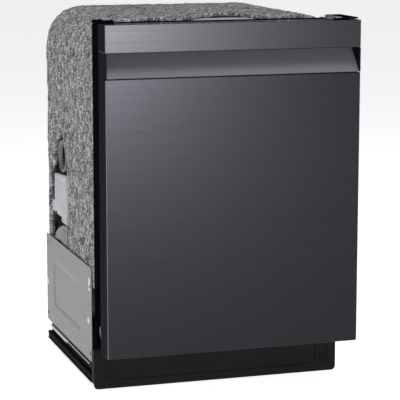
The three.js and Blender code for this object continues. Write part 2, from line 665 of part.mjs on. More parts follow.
function makeRinseCap() {
  const cap = rodY(RINSE.x, RINSE.z, RINSE.radius, DISPENSER.back + GAP, DISPENSER.back + 4, 18);
  const grip = block([RINSE.x - 2, RINSE.x + 2], [DISPENSER.back + 3, DISPENSER.back + 9],
    [RINSE.z - RINSE.radius + 3, RINSE.z + RINSE.radius - 3]);
  return part('rinse_cap', join(cap, grip), BLACK_PLASTIC);
}

// ---- assembly ----
cabinet.add(
  makeTub(), makeGasket(), makeTopRail(), ...SIDES.map(makePost), ...SIDES.map(makeMountBracket),
  ...SIDES.map(makeHingePin), makeBlanket(), makeAirBreak(), makeVentRing(), makeInletElbow(),
  ...SIDES.map(makeSidePanel), makeBasePan(), ...FOOT_PLACES.map(makeFoot), makeLegRod(), makeToePanel(),
  makeRearBrace(), makeInletValve(), makeJunctionBox(), makeSump(), makeWashMotor(), makeDrainPump(),
  makeFilterPlate(), makeFilterCup(), makeFloat(), makeFeedTube(), makeStrike(),
  sprayArm('lower_spray_arm', 200, 187, [-1, 16]), sprayArm('top_spray_arm', 190, 814, [0, 22]),
);
racks.add(
  makeLowerRack(), makeTineRow(), makeSilverwareBasket(), makeUpperRack(), makeThirdRack(),
  ...SIDES.map(makeRackRail), sprayArm('middle_spray_arm', 190, 520, [0, 15]),
);
door.add(
  makeOuterPanel(), makeFascia(), makePocket(), makeConsoleTop(), ...BUTTONS.map(makeButton),
  makeControlModule(), makeLatch(), makeLatchPawl(), makeInsulation(), makeLiner(), makeDispenser(),
  makeDispenserLid(), makeRinseCap(), ...SIDES.map(makeHingeArm),
);

const group = new THREE.Group();
group.name = 'dishwasher';
group.add(cabinet, racks, door);
export default group;
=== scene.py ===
"""Looks of a built-in dishwasher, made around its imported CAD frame. Metres, +Z up, the door faces -Y.

Every piece is placed from the CAD nodes' boxes. A piece either refines a node's own shape with soft
edges, or is built anew in the node's box and replaces it.
"""
import json
import math

import bmesh
import bpy
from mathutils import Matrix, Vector, noise


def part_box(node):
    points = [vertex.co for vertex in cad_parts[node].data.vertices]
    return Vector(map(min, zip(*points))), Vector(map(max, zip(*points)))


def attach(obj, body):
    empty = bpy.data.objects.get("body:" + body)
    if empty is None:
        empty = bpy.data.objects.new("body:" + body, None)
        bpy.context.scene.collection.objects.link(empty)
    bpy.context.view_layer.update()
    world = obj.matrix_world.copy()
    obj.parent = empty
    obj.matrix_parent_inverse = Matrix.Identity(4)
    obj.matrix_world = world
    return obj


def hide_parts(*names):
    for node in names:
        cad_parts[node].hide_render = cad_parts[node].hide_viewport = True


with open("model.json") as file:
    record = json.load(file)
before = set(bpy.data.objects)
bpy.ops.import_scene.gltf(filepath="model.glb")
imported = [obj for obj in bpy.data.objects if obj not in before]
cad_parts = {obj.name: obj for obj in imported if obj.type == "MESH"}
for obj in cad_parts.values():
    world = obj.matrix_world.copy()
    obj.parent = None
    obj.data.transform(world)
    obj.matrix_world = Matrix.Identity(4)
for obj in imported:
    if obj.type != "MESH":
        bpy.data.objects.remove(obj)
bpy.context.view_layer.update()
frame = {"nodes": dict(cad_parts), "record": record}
MM = 0.001
SIDES = (("left", -1), ("right", 1))
BODY_OF = {node: body for body, nodes in frame["record"]["behaviour"]["bodies"].items() for node in nodes}


# ---- camera, light and floor ----
CAMERA_PLACE = (-1.2758, -4.0872, 1.1422)
CAMERA_YAW, CAMERA_PITCH = 0.3059, 0.1702  # radians, to the right and down
CAMERA_LENS, SENSOR_WIDTH = 159.96, 36  # millimetres
SKY_STRENGTH, FLOOR_GLOW, FLOOR_REACH = 0.14, 0.75, 40.0


def make_camera():
    data = bpy.data.cameras.new("camera")
    data.sensor_width = SENSOR_WIDTH
    data.lens = CAMERA_LENS
    camera = bpy.data.objects.new("camera", data)
    bpy.context.scene.collection.objects.link(camera)
    level = math.cos(CAMERA_PITCH)
    forward = Vector((math.sin(CAMERA_YAW) * level, math.cos(CAMERA_YAW) * level, -math.sin(CAMERA_PITCH)))
    camera.location = CAMERA_PLACE
    camera.rotation_mode = "QUATERNION"
    camera.rotation_quaternion = forward.to_track_quat("-Z", "Y")
    bpy.context.scene.camera = camera


def softbox(name, place, target, size, watts):
    data = bpy.data.lights.new(name, "AREA")
    data.shape = "RECTANGLE"
    data.size, data.size_y = size
    data.energy = watts
    lamp = bpy.data.objects.new(name, data)
    bpy.context.scene.collection.objects.link(lamp)
    lamp.location = place
    lamp.rotation_mode = "QUATERNION"
    lamp.rotation_quaternion = (Vector(target) - Vector(place)).to_track_quat("-Z", "Y")
    lamp.visible_camera = False


def make_studio():
    world = bpy.data.worlds.new("studio")
    world.use_nodes = True
    tree = world.node_tree
    sky = tree.nodes["Background"]
    sky.inputs["Color"].default_value = (0.9, 0.93, 1, 1)
    sky.inputs["Strength"].default_value = SKY_STRENGTH
    backdrop = tree.nodes.new("ShaderNodeBackground")
    backdrop.inputs["Color"].default_value = (1, 1, 1, 1)
    path = tree.nodes.new("ShaderNodeLightPath")
    mix = tree.nodes.new("ShaderNodeMixShader")
    tree.links.new(path.outputs["Is Camera Ray"], mix.inputs[0])
    tree.links.new(sky.outputs[0], mix.inputs[1])
    tree.links.new(backdrop.outputs[0], mix.inputs[2])
    tree.links.new(mix.outputs[0], tree.nodes["World Output"].inputs["Surface"])
    bpy.context.scene.world = world
    bpy.context.scene.view_settings.view_transform = "Standard"
    softbox("front_softbox", (0.5, -5.2, 0.85), (0, 0, 0.6), (1.1, 1.0), 230)
    softbox("left_softbox", (-3.4, -0.9, 1.2), (0, 0, 0.4), (1.4, 2.0), 19)
    softbox("fill_softbox", (-3.5, -3.4, 1.2), (0, 0, 0.4), (1.8, 1.8), 48)
    softbox("top_softbox", (0.1, -0.4, 3.4), (0, 0, 0), (3.0, 3.6), 70)


def make_floor():
    """A plain pale floor that glows evenly, so that it stays near white."""
    floor = bpy.data.meshes.new("floor")
    far = FLOOR_REACH
    floor.from_pydata([(-far, -far, 0), (far, -far, 0), (far, far, 0), (-far, far, 0)], [], [(0, 1, 2, 3)])
    stage = bpy.data.objects.new("floor", floor)
    bpy.context.scene.collection.objects.link(stage)
    pale = bpy.data.materials.new("pale_floor")
    pale.use_nodes = True
    shader = pale.node_tree.nodes["Principled BSDF"]
    shader.inputs["Base Color"].default_value = (0.86, 0.86, 0.87, 1)
    shader.inputs["Roughness"].default_value = 0.9
    shader.inputs["Emission Color"].default_value = (1, 1, 1, 1)
    shader.inputs["Emission Strength"].default_value = FLOOR_GLOW
    floor.materials.append(pale)


make_camera()
make_studio()
make_floor()


# ---- materials ----
class Look:
    """A procedural material. Its textures are laid out in metres in the row frame."""

    def __init__(self, name, **fixed):
        self.material = bpy.data.materials.new(name)
        self.material.use_nodes = True
        self.tree = self.material.node_tree
        self.shader = self.tree.nodes["Principled BSDF"]
        for socket, value in fixed.items():
            self.shader.inputs[socket.replace("_", " ")].default_value = value
        self.place = self.tree.nodes.new("ShaderNodeTexCoord").outputs["Object"]

    def stretched(self, scale):
        mapping = self.tree.nodes.new("ShaderNodeMapping")
        mapping.inputs["Scale"].default_value = scale
        self.tree.links.new(self.place, mapping.inputs["Vector"])
        return mapping.outputs[0]

    def noise(self, scale, detail=3.0, roughness=0.55):
        """Fractal noise; scale is features per metre on X, Y and Z."""
        texture = self.tree.nodes.new("ShaderNodeTexNoise")
        texture.inputs["Scale"].default_value = 1.0
        texture.inputs["Detail"].default_value = detail
        texture.inputs["Roughness"].default_value = roughness
        self.tree.links.new(self.stretched(scale), texture.inputs["Vector"])
        return texture.outputs["Fac"]

    def cells(self, scale):
        """Voronoi cells, each with a random value."""
        texture = self.tree.nodes.new("ShaderNodeTexVoronoi")
        texture.inputs["Scale"].default_value = 1.0
        self.tree.links.new(self.stretched(scale), texture.inputs["Vector"])
        return texture.outputs["Color"]

    def ranged(self, source, low, high, start=0.3, end=0.7):
        node = self.tree.nodes.new("ShaderNodeMapRange")
        for socket, value in (("From Min", start), ("From Max", end), ("To Min", low), ("To Max", high)):
            node.inputs[socket].default_value = value
        self.tree.links.new(source, node.inputs["Value"])
        return node.outputs[0]

    def math(self, operation, a, b):
        node = self.tree.nodes.new("ShaderNodeMath")
        node.operation = operation
        for socket, value in zip(node.inputs, (a, b)):
            if isinstance(value, (int, float)):
                socket.default_value = value
            else:
                self.tree.links.new(value, socket)
        return node.outputs[0]

    def ramp(self, source, *stops):
        node = self.tree.nodes.new("ShaderNodeValToRGB")
        for i, (position, color) in enumerate(stops):
            stop = node.color_ramp.elements[i] if i < 2 else node.color_ramp.elements.new(position)
            stop.position = position
            stop.color = (*color, 1)
        self.tree.links.new(source, node.inputs[0])
        return node.outputs[0]

    def color(self, source):
        self.tree.links.new(source, self.shader.inputs["Base Color"])

    def roughness(self, source):
        self.tree.links.new(source, self.shader.inputs["Roughness"])

    def bump(self, source, distance, strength=1.0):
        node = self.tree.nodes.new("ShaderNodeBump")
        node.inputs["Distance"].default_value = distance
        node.inputs["Strength"].default_value = strength
        self.tree.links.new(source, node.inputs["Height"])
        self.tree.links.new(node.outputs[0], self.shader.inputs["Normal"])


def grey(value, blue=1.0):
    return (value, value * (1 + blue) / 2, value * blue)


def brushed(name, dark, light, rough, streak, metallic=1.0):
    """Metal brushed along one axis: streak is the number of features per metre on each axis."""
    look = Look(name, Metallic=metallic)
    fine = look.noise(streak, detail=2)
    coarse = look.noise(tuple(s * 0.4 for s in streak), detail=3)
    grain = look.math("ADD", look.math("MULTIPLY", fine, 0.75), look.math("MULTIPLY", coarse, 0.25))
    look.color(look.ramp(grain, (0.25, dark), (0.75, light)))
    look.roughness(look.ranged(grain, rough[1], rough[0], 0.3, 0.7))
    look.bump(fine, 0.00001, 0.3)
    return look.material


def moulded(name, color, rough, grain=1400, depth=0.00006, mottle=0.12, **fixed):
    """Moulded plastic or paint with a fine surface grain and slight variation of colour."""
    look = Look(name, **fixed)
    patches = look.noise((22, 22, 22), detail=4)
    darker = tuple(c * (1 - mottle) for c in color)
    lighter = tuple(min(1, c * (1 + mottle)) for c in color)
    look.color(look.ramp(patches, (0.3, darker), (0.7, lighter)))
    texture = look.noise((grain, grain, grain), detail=2)
    look.roughness(look.ranged(look.noise((60, 60, 60)), rough - 0.05, rough + 0.06))
    look.bump(texture, depth, 0.6)
    return look.material


def felt(name, dark, light, warm=1.02):
    """Needled recycled-fibre felt: black, grey and pale flecks matted together, with loose threads."""
    look = Look(name, Roughness=0.95, Specular_IOR_Level=0.1, Sheen_Weight=0.1, Sheen_Roughness=0.6)
    tufts = look.noise((60, 60, 40), detail=4, roughness=0.6)
    flecks = look.noise((185, 100, 185), detail=4, roughness=0.85)
    threads = look.noise((150, 150, 80), detail=4, roughness=0.7)
    ridge = look.math("ABSOLUTE", look.math("SUBTRACT", threads, 0.5), 0)
    loose = look.ranged(ridge, 0.10, 0.0, 0.0, 0.02)
    body = look.math("ADD", look.math("MULTIPLY", tufts, 0.3), look.math("MULTIPLY", flecks, 0.7))
    shade = look.math("ADD", body, loose)
    look.color(look.ramp(shade, (0.44, grey(dark, warm)), (0.50, grey((dark + light) * 0.36, warm)),
                         (0.55, grey(light, warm)), (0.64, grey(light * 1.9, warm))))
    look.bump(look.math("ADD", shade, tufts), 0.0025, 1.0)
    return look.material


def galvanised(name, dark, light):
    """Zinc-coated sheet with a faint spangle."""
    look = Look(name, Metallic=0.3)
    spangle = look.cells((130, 130, 130))
    value = look.ranged(spangle, 0.0, 1.0, 0.0, 1.0)
    streaks = look.noise((14, 14, 160), detail=3)
    blend = look.math("ADD", look.math("MULTIPLY", value, 0.2), look.math("MULTIPLY", streaks, 0.8))
    look.color(look.ramp(blend, (0.25, grey(dark, 1.04)), (0.75, grey(light, 1.04))))
    look.roughness(look.ranged(blend, 0.36, 0.5))
    look.bump(look.noise((300, 300, 300)), 0.00005, 0.5)
    return look.material


def glowing(name, color, strength):
    look = Look(name, Roughness=0.3, Base_Color=(*color, 1), Emission_Color=(*color, 1))
    flicker = look.noise((400, 400, 400))
    glow = look.ranged(flicker, strength * 0.8, strength)
    look.tree.links.new(glow, look.shader.inputs["Emission Strength"])
    return look.material


DOOR_BRUSHING = (2, 60, 1700)  # long on X, fine on Z
PANEL_STEEL = brushed(
    "black_stainless_panel", (0.0142, 0.0144, 0.0166), (0.0205, 0.0208, 0.0235), (0.25, 0.29), DOOR_BRUSHING)
FASCIA_STEEL = brushed(
    "black_stainless_fascia", (0.0195, 0.0197, 0.0218), (0.0262, 0.0264, 0.0288), (0.27, 0.31), DOOR_BRUSHING)
# Painted highlight: a lit copy of the door steel, laid on the door's rounded front edges.
HIGHLIGHT_EDGE_STEEL = brushed("painted_highlight_door_edge", (0.10, 0.101, 0.108), (0.14, 0.141, 0.149), (0.3, 0.36), DOOR_BRUSHING)
TUB_STEEL = brushed("brushed_tub_steel", grey(0.50), grey(0.60), (0.24, 0.32), (900, 5, 900))
BRIGHT_STEEL = brushed("bright_steel", grey(0.5), grey(0.62), (0.22, 0.32), (600, 6, 600))
ZINC = galvanised("galvanised_sheet", 0.145, 0.18)
# Painted highlight: a lit copy of the zinc, much lighter than the panels' zinc, used on the side-panel bosses
# and the tub's top.
HIGHLIGHT_ZINC = galvanised("painted_highlight_zinc", 0.46, 0.60)
DARK_ZINC = galvanised("weathered_zinc", 0.10, 0.16)
EDGE_PAINT = moulded("door_edge_paint", (0.0055, 0.006, 0.0095), 0.7, grain=900, Specular_IOR_Level=0.02)
FRAME_PAINT = moulded("black_frame_paint", grey(0.003, 1.05), 0.7, grain=900, Specular_IOR_Level=0.0)
TOE_PAINT = moulded("black_toe_paint", grey(0.004, 1.08), 0.55, grain=1100, Specular_IOR_Level=0.05)
BLACK_PLASTIC = moulded("black_plastic", grey(0.004), 0.65, depth=0.0001, Specular_IOR_Level=0.06)
GLOSS_BLACK = moulded("console_gloss", grey(0.004), 0.2, depth=0.00001, Specular_IOR_Level=0.25)
WHITE_PLASTIC = moulded("white_plastic", (0.58, 0.59, 0.60), 0.42, mottle=0.05)
PALE_PLASTIC = moulded("pale_plastic", (0.36, 0.37, 0.385), 0.4, mottle=0.08)
ELBOW_PLASTIC = moulded("elbow_plastic", grey(0.12, 1.03), 0.45, mottle=0.1)
GREY_PLASTIC = moulded("grey_plastic", grey(0.12, 1.05), 0.48, mottle=0.08)
DARK_RUBBER = moulded("dark_rubber", grey(0.008), 0.8, grain=700, depth=0.0001, Specular_IOR_Level=0.15)
MASTIC = moulded("damping_mastic", grey(0.004), 0.85, grain=240, depth=0.0004, Specular_IOR_Level=0.08)
NYLON = moulded(
    "rack_nylon", (0.27, 0.285, 0.31), 0.36, grain=900, depth=0.00008, mottle=0.06, Coat_Weight=0.1)
FELT = felt("insulation_felt", 0.012, 0.345, 1.03)
PAD_FELT = felt("door_pad_felt", 0.02, 0.12)
LED = glowing("indicator_light", (0.3, 0.36, 0.42), 0.3)
GLYPH = moulded("console_print", (0.16, 0.165, 0.175), 0.5, mottle=0.04)
POCKET_STEEL = brushed(
    "black_stainless_pocket", (0.085, 0.086, 0.093), (0.105, 0.106, 0.115), (0.40, 0.46), DOOR_BRUSHING,
    metallic=0.3)


# ---- mesh building ----
def along_x(u, v, w):
    return Vector((w, u, v))


def along_y(u, v, w):
    return Vector((u, w, v))


def along_z(u, v, w):
    return Vector((u, v, w))


def rounded(a0, a1, b0, b1, radius, steps=6):
    """Points round a rectangle with arc corners; radius is one number or one for each corner."""
    radii = radius if isinstance(radius, (list, tuple)) else [radius] * 4
    centres = (
        (a0 + radii[0], b0 + radii[0], 180), (a1 - radii[1], b0 + radii[1], 270),
        (a1 - radii[2], b1 - radii[2], 0), (a0 + radii[3], b1 - radii[3], 90))
    points = []
    for (a, b, start), r in zip(centres, radii):
        for i in range(steps + 1):
            angle = math.radians(start + 90 * i / steps)
            points.append((a + r * math.cos(angle), b + r * math.sin(angle)))
    return points


def quarter(radius, inset=0.0, front=0.0):
    """(inset, depth) points of a quarter-round fold, from its outer edge to its face."""
    turns = [math.radians(15 * i) for i in range(7)]
    return [(inset + radius * (1 - math.cos(a)), front + radius * (1 - math.sin(a))) for a in turns]


def shrinking(a0, a1, b0, b1, radius, steps=6):
    """A rounded rectangle as a function of its inset."""
    return lambda g: rounded(a0 + g, a1 - g, b0 + g, b1 - g, radius - g, steps)


def mirrored(side, inner, outer):
    """A span on X for one side, in rising order."""
    return sorted((side * inner, side * outer))


def middle(span):
    return sum(span) / 2


def circle(a, b, radius, sides=24):
    turns = (2 * math.pi * i / sides for i in range(sides))
    return [(a + radius * math.cos(t), b + radius * math.sin(t)) for t in turns]


class Shape:
    """The points and faces of one piece."""

    def __init__(self):
        self.points, self.faces = [], []

    def loft(self, rings, ends=True):
        """Joins rings of equally many points into a skin, closed over at both ends."""
        start, count = len(self.points), len(rings[0])
        for ring in rings:
            self.points.extend(Vector(p) for p in ring)
        for r in range(len(rings) - 1):
            low, high = start + r * count, start + (r + 1) * count
            for i in range(count):
                j = (i + 1) % count
                self.faces.append((low + i, low + j, high + j, high + i))
        if ends:
            self.faces.append(tuple(range(start + count - 1, start - 1, -1)))
            self.faces.append(tuple(range(start + (len(rings) - 1) * count, start + len(rings) * count)))
        else:
            low = start + (len(rings) - 1) * count
            self.faces.extend(
                (low + i, low + (i + 1) % count, start + (i + 1) % count, start + i) for i in range(count))
        return self

    def stack(self, axis, levels, ends=True):
        """Lofts flat (outline, height) rings."""
        return self.loft([[axis(u, v, w) for u, v in outline] for outline, w in levels], ends)

    def prism(self, outline, axis, low, high):
        return self.stack(axis, [(outline, low), (outline, high)])

    def block(self, xs, ys, zs):
        return self.prism(((xs[0], ys[0]), (xs[1], ys[0]), (xs[1], ys[1]), (xs[0], ys[1])), along_z, *zs)

    def pillow(self, axis, outline_at, levels):
        """Rings of one outline function at (inset, height) levels."""
        return self.stack(axis, [(outline_at(inset), w) for inset, w in levels])

    def lathe(self, axis, centre, profile, sides=32):
        """Turns (radius, height) points round an axis; a closed outline starts and ends on it."""
        return self.stack(axis, [(circle(*centre, max(r, 1e-5), sides), w) for r, w in profile])

    def ring(self, axis, centre, profile, sides=40):
        """Turns a closed (radius, height) outline that doesn't reach the axis."""
        return self.stack(axis, [(circle(*centre, r, sides), w) for r, w in profile], ends=False)

    def tube(self, path, radius, sides=8, closed=False):
        """A round wire along a path of points."""
        path = [Vector(p) for p in path]
        count = len(path)
        rings, normal = [], None
        for i, point in enumerate(path):
            before = path[(i - 1) % count] if closed or i else point
            after = path[(i + 1) % count] if closed or i < count - 1 else point
            direction = (after - before).normalized()
            if normal is None:
                normal = direction.orthogonal().normalized()
            normal = (normal - direction * normal.dot(direction)).normalized()
            other = direction.cross(normal)
            rings.append([
                point + radius * (math.cos(t) * normal + math.sin(t) * other)
                for t in (2 * math.pi * k / sides for k in range(sides))])
        return self.loft(rings, ends=not closed)


def bent(points, radius, steps=4):
    """A path through points, with each inner corner rounded to a radius."""
    points = [Vector(p) for p in points]
    path = [points[0]]
    for before, corner, after in zip(points, points[1:], points[2:]):
        first = (before - corner).normalized()
        second = (after - corner).normalized()
        reach = min(radius, (before - corner).length * 0.49, (after - corner).length * 0.49)
        start, end = corner + first * reach, corner + second * reach
        for i in range(steps + 1):
            t = i / steps
            path.append(start * (1 - t) ** 2 + corner * 2 * t * (1 - t) + end * t ** 2)
    return path + [points[-1]]


def bmesh_of(shape):
    """A shape as a mesh that can be edited."""
    mesh = bpy.data.meshes.new("shape")
    mesh.from_pydata(shape.points, [], shape.faces)
    bm = bmesh.new()
    bm.from_mesh(mesh)
    bpy.data.meshes.remove(mesh)
    return bm


def finish_mesh(name, bm, material, bevel, segments):
    bmesh.ops.remove_doubles(bm, verts=bm.verts, dist=1e-6)
    bmesh.ops.recalc_face_normals(bm, faces=bm.faces)
    if bevel:
        sharp = [e for e in bm.edges if len(e.link_faces) == 2 and e.calc_face_angle(0) > math.radians(32)]
        bmesh.ops.bevel(
            bm, geom=sharp, offset=bevel, offset_type="OFFSET", segments=segments, profile=0.5,
            affect="EDGES", clamp_overlap=True)
    mesh = bpy.data.meshes.new(name)
    bm.to_mesh(mesh)
    bm.free()
    mesh.shade_smooth()
    mesh.set_sharp_from_angle(angle=math.radians(38))
    mesh.materials.append(material)
    obj = bpy.data.objects.new(name, mesh)
    bpy.context.scene.collection.objects.link(obj)
    weighted = obj.modifiers.new("even_normals", "WEIGHTED_NORMAL")
    weighted.keep_sharp = True
    return obj


def settle(obj, body, nodes):
    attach(obj, body)
    if nodes:
        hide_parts(*nodes)
    return obj


def piece(name, shape, material, body, nodes=(), bevel=0.0, segments=2):
    """Makes a piece of a shape, on a CAD body, standing for the nodes it replaces."""
    return settle(finish_mesh(name, bmesh_of(shape), material, bevel, segments), body, nodes)


def refined(node, material, bevel=0.0008, segments=2):
    """A node's own shape with its edges softened, in place of the node."""
    bm = bmesh.new()
    bm.from_mesh(frame["nodes"][node].data)
    bmesh.ops.remove_doubles(bm, verts=bm.verts, dist=2e-6)
    bmesh.ops.dissolve_limit(bm, angle_limit=math.radians(0.6), verts=bm.verts, edges=bm.edges)
    return settle(finish_mesh(f"{node}_fine", bm, material, bevel, segments), BODY_OF[node], [node])


def subtract(obj, shape):
    """Cuts a shape out of a piece's mesh."""
    bm = bmesh_of(shape)
    bmesh.ops.recalc_face_normals(bm, faces=bm.faces)
    mesh = bpy.data.meshes.new("cutter")
    bm.to_mesh(mesh)
    bm.free()
    cutter = bpy.data.objects.new("cutter", mesh)
    bpy.context.scene.collection.objects.link(cutter)
    obj.modifiers.remove(obj.modifiers["even_normals"])
    cut = obj.modifiers.new("cut", "BOOLEAN")
    cut.operation, cut.solver, cut.object = "DIFFERENCE", "EXACT", cutter
    made = bpy.data.meshes.new_from_object(obj.evaluated_get(bpy.context.evaluated_depsgraph_get()))
    obj.modifiers.clear()
    obj.data = made
    made.set_sharp_from_angle(angle=math.radians(38))
    obj.modifiers.new("even_normals", "WEIGHTED_NORMAL").keep_sharp = True
    bpy.data.objects.remove(cutter)
    return obj


def screw(shape, axis, centre, face, out, radius=3.6 * MM):
    """A low pan-head screw with a driver recess; face is the height it sits on, out is +1 or -1."""
    head = [(radius, -0.2), (radius, 0.9), (radius * 0.9, 1.5), (radius * 0.62, 1.9),
            (radius * 0.34, 2.0), (radius * 0.3, 1.1), (0, 1.1)]
    shape.lathe(axis, centre, [(0, face - 0.2 * MM * out)] + [(r, face + h * MM * out) for r, h in head], 20)


def box_of(node):
    """A node's box as (low, high) on X, Y and Z."""
    low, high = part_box(node)
    return tuple((low[i], high[i]) for i in range(3))


# ---- door ----
def make_door_skin(name, node, material, radius, top_open):
    """A shallow tray folded from one sheet, with rounded front edges, open at the back."""
    xs, ys, zs = box_of(node)
    sheet = 1 * MM
    top = zs[1] + (8 * MM if top_open else 0)

    outline = shrinking(xs[0], xs[1], zs[0], top, radius + 1.2 * MM, 4)
    inner = quarter(radius - sheet, sheet, ys[0] + sheet)
    levels = inner[::-1] + [(sheet, ys[1]), (0, ys[1])] + quarter(radius, 0, ys[0])
    bm = bmesh_of(Shape().pillow(along_y, outline, levels))
    if top_open:
        cut = bmesh.ops.bisect_plane(
            bm, geom=bm.verts[:] + bm.edges[:] + bm.faces[:], plane_co=(0, 0, zs[1]), plane_no=(0, 0, 1),
            clear_outer=True)
        rim = [e for e in cut["geom_cut"] if isinstance(e, bmesh.types.BMEdge)]
        bmesh.ops.edgenet_fill(bm, edges=rim)
    skin = settle(finish_mesh(name, bm, material, 0, 1), "door", [node])
    skin.data.materials.append(EDGE_PAINT)
    skin.data.materials.append(HIGHLIGHT_EDGE_STEEL)
    for polygon in skin.data.polygons:
        if abs(polygon.normal.x) > 0.9 or (polygon.normal.y > 0.5 and top_open):
            polygon.material_index = 1
        # The rounded side edges take the lighter steel: a painted highlight along the door's front edges.
        elif abs(polygon.normal.x) > 0.2 and polygon.normal.y < 0:
            polygon.material_index = 2


def make_pocket():
    """The finger scoop under the fascia: a shallow curve between two end cheeks."""
    xs, ys, zs = box_of("handle_pocket")
    front, back, low, high = ys[0], ys[0] + 51.5 * MM, zs[0] + 0.5 * MM, zs[1]
    curve = []
    steps = 20
    for i in range(steps + 1):
        t = i / steps
        y = front + (back - front) * 0.97 * t ** 1.12
        z = low + (high - low) * t
        curve.append((y, z))
    under = [(y + 1.8 * MM, z - 1.2 * MM) for y, z in reversed(curve[4:])]
    foot = [(front + 12 * MM, low)]
    shape = Shape().prism(curve + under + foot, along_x, xs[0] + 2.5 * MM, xs[1] - 2.5 * MM)
    piece("pocket_scoop", shape, POCKET_STEEL, "door", ["handle_pocket"])
    cheek = rounded(front - 0.5 * MM, ys[1], zs[0], high, 1.5 * MM, 3)
    cheeks = Shape()
    for _, s in SIDES:
        cheeks.prism(cheek, along_x, *mirrored(s, xs[1] - 3.5 * MM, xs[1]))
    piece("pocket_cheeks", cheeks, EDGE_PAINT, "door")


def make_console():
    """The top console: a gloss strip with touch marks and a display window."""
    xs, ys, zs = box_of("console_top")
    top = zs[1]
    buttons = {name: box_of(f"button_{name}") for name in ("power", "select", "start")}
    strip = refined("console_top", GLOSS_BLACK, 0.5 * MM)
    strip.name = "console_strip"
    marks, lights = Shape(), Shape()
    key_y = middle(buttons["power"][1])
    thin = 0.12 * MM
    for name, (bx, by, bz) in buttons.items():
        centre, radius = (middle(bx), middle(by)), (bx[1] - bx[0]) / 2
        cap = Shape().lathe(along_z, centre, [
            (0, bz[0]), (radius, bz[0]), (radius, bz[1] - 0.9 * MM), (radius - 0.3 * MM, bz[1] - 0.3 * MM),
            (radius - 0.9 * MM, bz[1] - 0.1 * MM), (radius * 0.55, bz[1] - 0.35 * MM),
            (0, bz[1] - 0.5 * MM)], 36)
        piece(f"button_{name}_cap", cap, GLOSS_BLACK, f"button_{name}", [f"button_{name}"])
    for i in range(7):
        x = xs[0] + 160 * MM + i * 31 * MM
        marks.ring(along_z, (x, key_y), [
            (4.2 * MM, top - thin), (4.2 * MM, top + thin),
            (3.6 * MM, top + thin), (3.6 * MM, top - thin)], 24)
        marks.prism(rounded(x - 5 * MM, x + 5 * MM, key_y - 9 * MM, key_y - 8.2 * MM, 0.3 * MM, 2), along_z,
                    top - thin, top + thin)
        lights.lathe(along_z, (x, key_y + 9 * MM), [
            (0, top - thin), (1.0 * MM, top - thin), (0.8 * MM, top + thin), (0, top + thin)], 14)
    window = rounded(90 * MM, 168 * MM, key_y - 9 * MM, key_y + 9 * MM, 3 * MM)
    glass = rounded(90.8 * MM, 167.2 * MM, key_y - 8.2 * MM, key_y + 8.2 * MM, 2.4 * MM)
    marks.stack(along_z, [
        (window, top - thin), (window, top + thin), (glass, top + thin), (glass, top - thin)], ends=False)
    segment_on = ("abcdef", "bc", "abdeg")
    bars = {"a": (0, 5, 1), "g": (0, 0, 1), "d": (0, -5, 1), "f": (-2.4, 2.5, 0), "b": (2.4, 2.5, 0),
            "e": (-2.4, -2.5, 0), "c": (2.4, -2.5, 0)}
    for digit, letters in enumerate(segment_on):
        for letter in letters:
            dx, dy, flat = bars[letter]
            x, y = (112 + 12 * digit + dx) * MM, key_y + dy * MM
            half = (1.9 * MM, 0.4 * MM) if flat else (0.4 * MM, 1.9 * MM)
            lights.prism(rounded(x - half[0], x + half[0], y - half[1], y + half[1], 0.3 * MM, 2), along_z,
                         top - thin, top + thin)
    piece("console_marks", marks, GLYPH, "door")
    piece("console_lights", lights, LED, "door")


def make_door_inside():
    refined("control_module", WHITE_PLASTIC, 2 * MM, 3)
    refined("door_latch", BLACK_PLASTIC, 0.8 * MM)
    refined("latch_pawl", BRIGHT_STEEL, 0.5 * MM)
    refined("inner_liner", TUB_STEEL, 0.3 * MM, 1)
    pad = refined("door_insulation", PAD_FELT, 4 * MM, 3)
    for side, _ in SIDES:
        refined(f"hinge_arm_{side}", DARK_ZINC, 0.5 * MM)
    face = box_of("inner_liner")[1][1]
    ribs = Shape()
    for z in (230, 300, 620, 700, 780):
        def bar(g, z=z):
            return rounded(-200 * MM + g, 200 * MM - g, z * MM - 9 * MM + g, z * MM + 9 * MM - g,
                           8.9 * MM - g * 0.9)

        ribs.pillow(along_y, bar, [
            (0, face - 0.4 * MM), (0, face), (2 * MM, face + 1.4 * MM), (4 * MM, face + 1.8 * MM)])
    piece("liner_ribs", ribs, TUB_STEEL, "door")


def make_dispenser():
    refined("dispenser_body", GREY_PLASTIC, 1.5 * MM, 3)
    xs, ys, zs = box_of("dispenser_lid")
    lid = Shape().pillow(along_y, shrinking(xs[0], xs[1], zs[0], zs[1], 9 * MM), [
        (0, ys[0]), (0, ys[1] - 1.4 * MM), (0.6 * MM, ys[1] - 0.5 * MM), (1.6 * MM, ys[1]), (8 * MM, ys[1]),
        (9 * MM, ys[1] - 0.8 * MM)])
    grip = rounded(xs[0] + 14 * MM, xs[1] - 14 * MM, zs[0] + 12 * MM, zs[0] + 20 * MM, 3.9 * MM)
    lid.prism(grip, along_y, ys[1] - 1.2 * MM, ys[1] - 0.1 * MM)
    piece("dispenser_lid_fine", lid, GREY_PLASTIC, "dispenser_lid", ["dispenser_lid"])
    xs, ys, zs = box_of("rinse_cap")
    centre, radius, base = (middle(xs), middle(zs)), (xs[1] - xs[0]) / 2, ys[0]
    cap = Shape().lathe(along_y, centre, [
        (0, base), (radius, base), (radius, base + 2.4 * MM), (radius - 1 * MM, base + 3.5 * MM),
        (radius - 4 * MM, base + 3.2 * MM), (0, base + 3.2 * MM)], 40)
    cap.prism(rounded(centre[0] - 2 * MM, centre[0] + 2 * MM, centre[1] - radius + 3 * MM,
                      centre[1] + radius - 3 * MM, 1.9 * MM, 4), along_y, base + 3 * MM, ys[1])
    piece("rinse_cap_fine", cap, BLACK_PLASTIC, "rinse_cap", ["rinse_cap"], bevel=0.3 * MM)


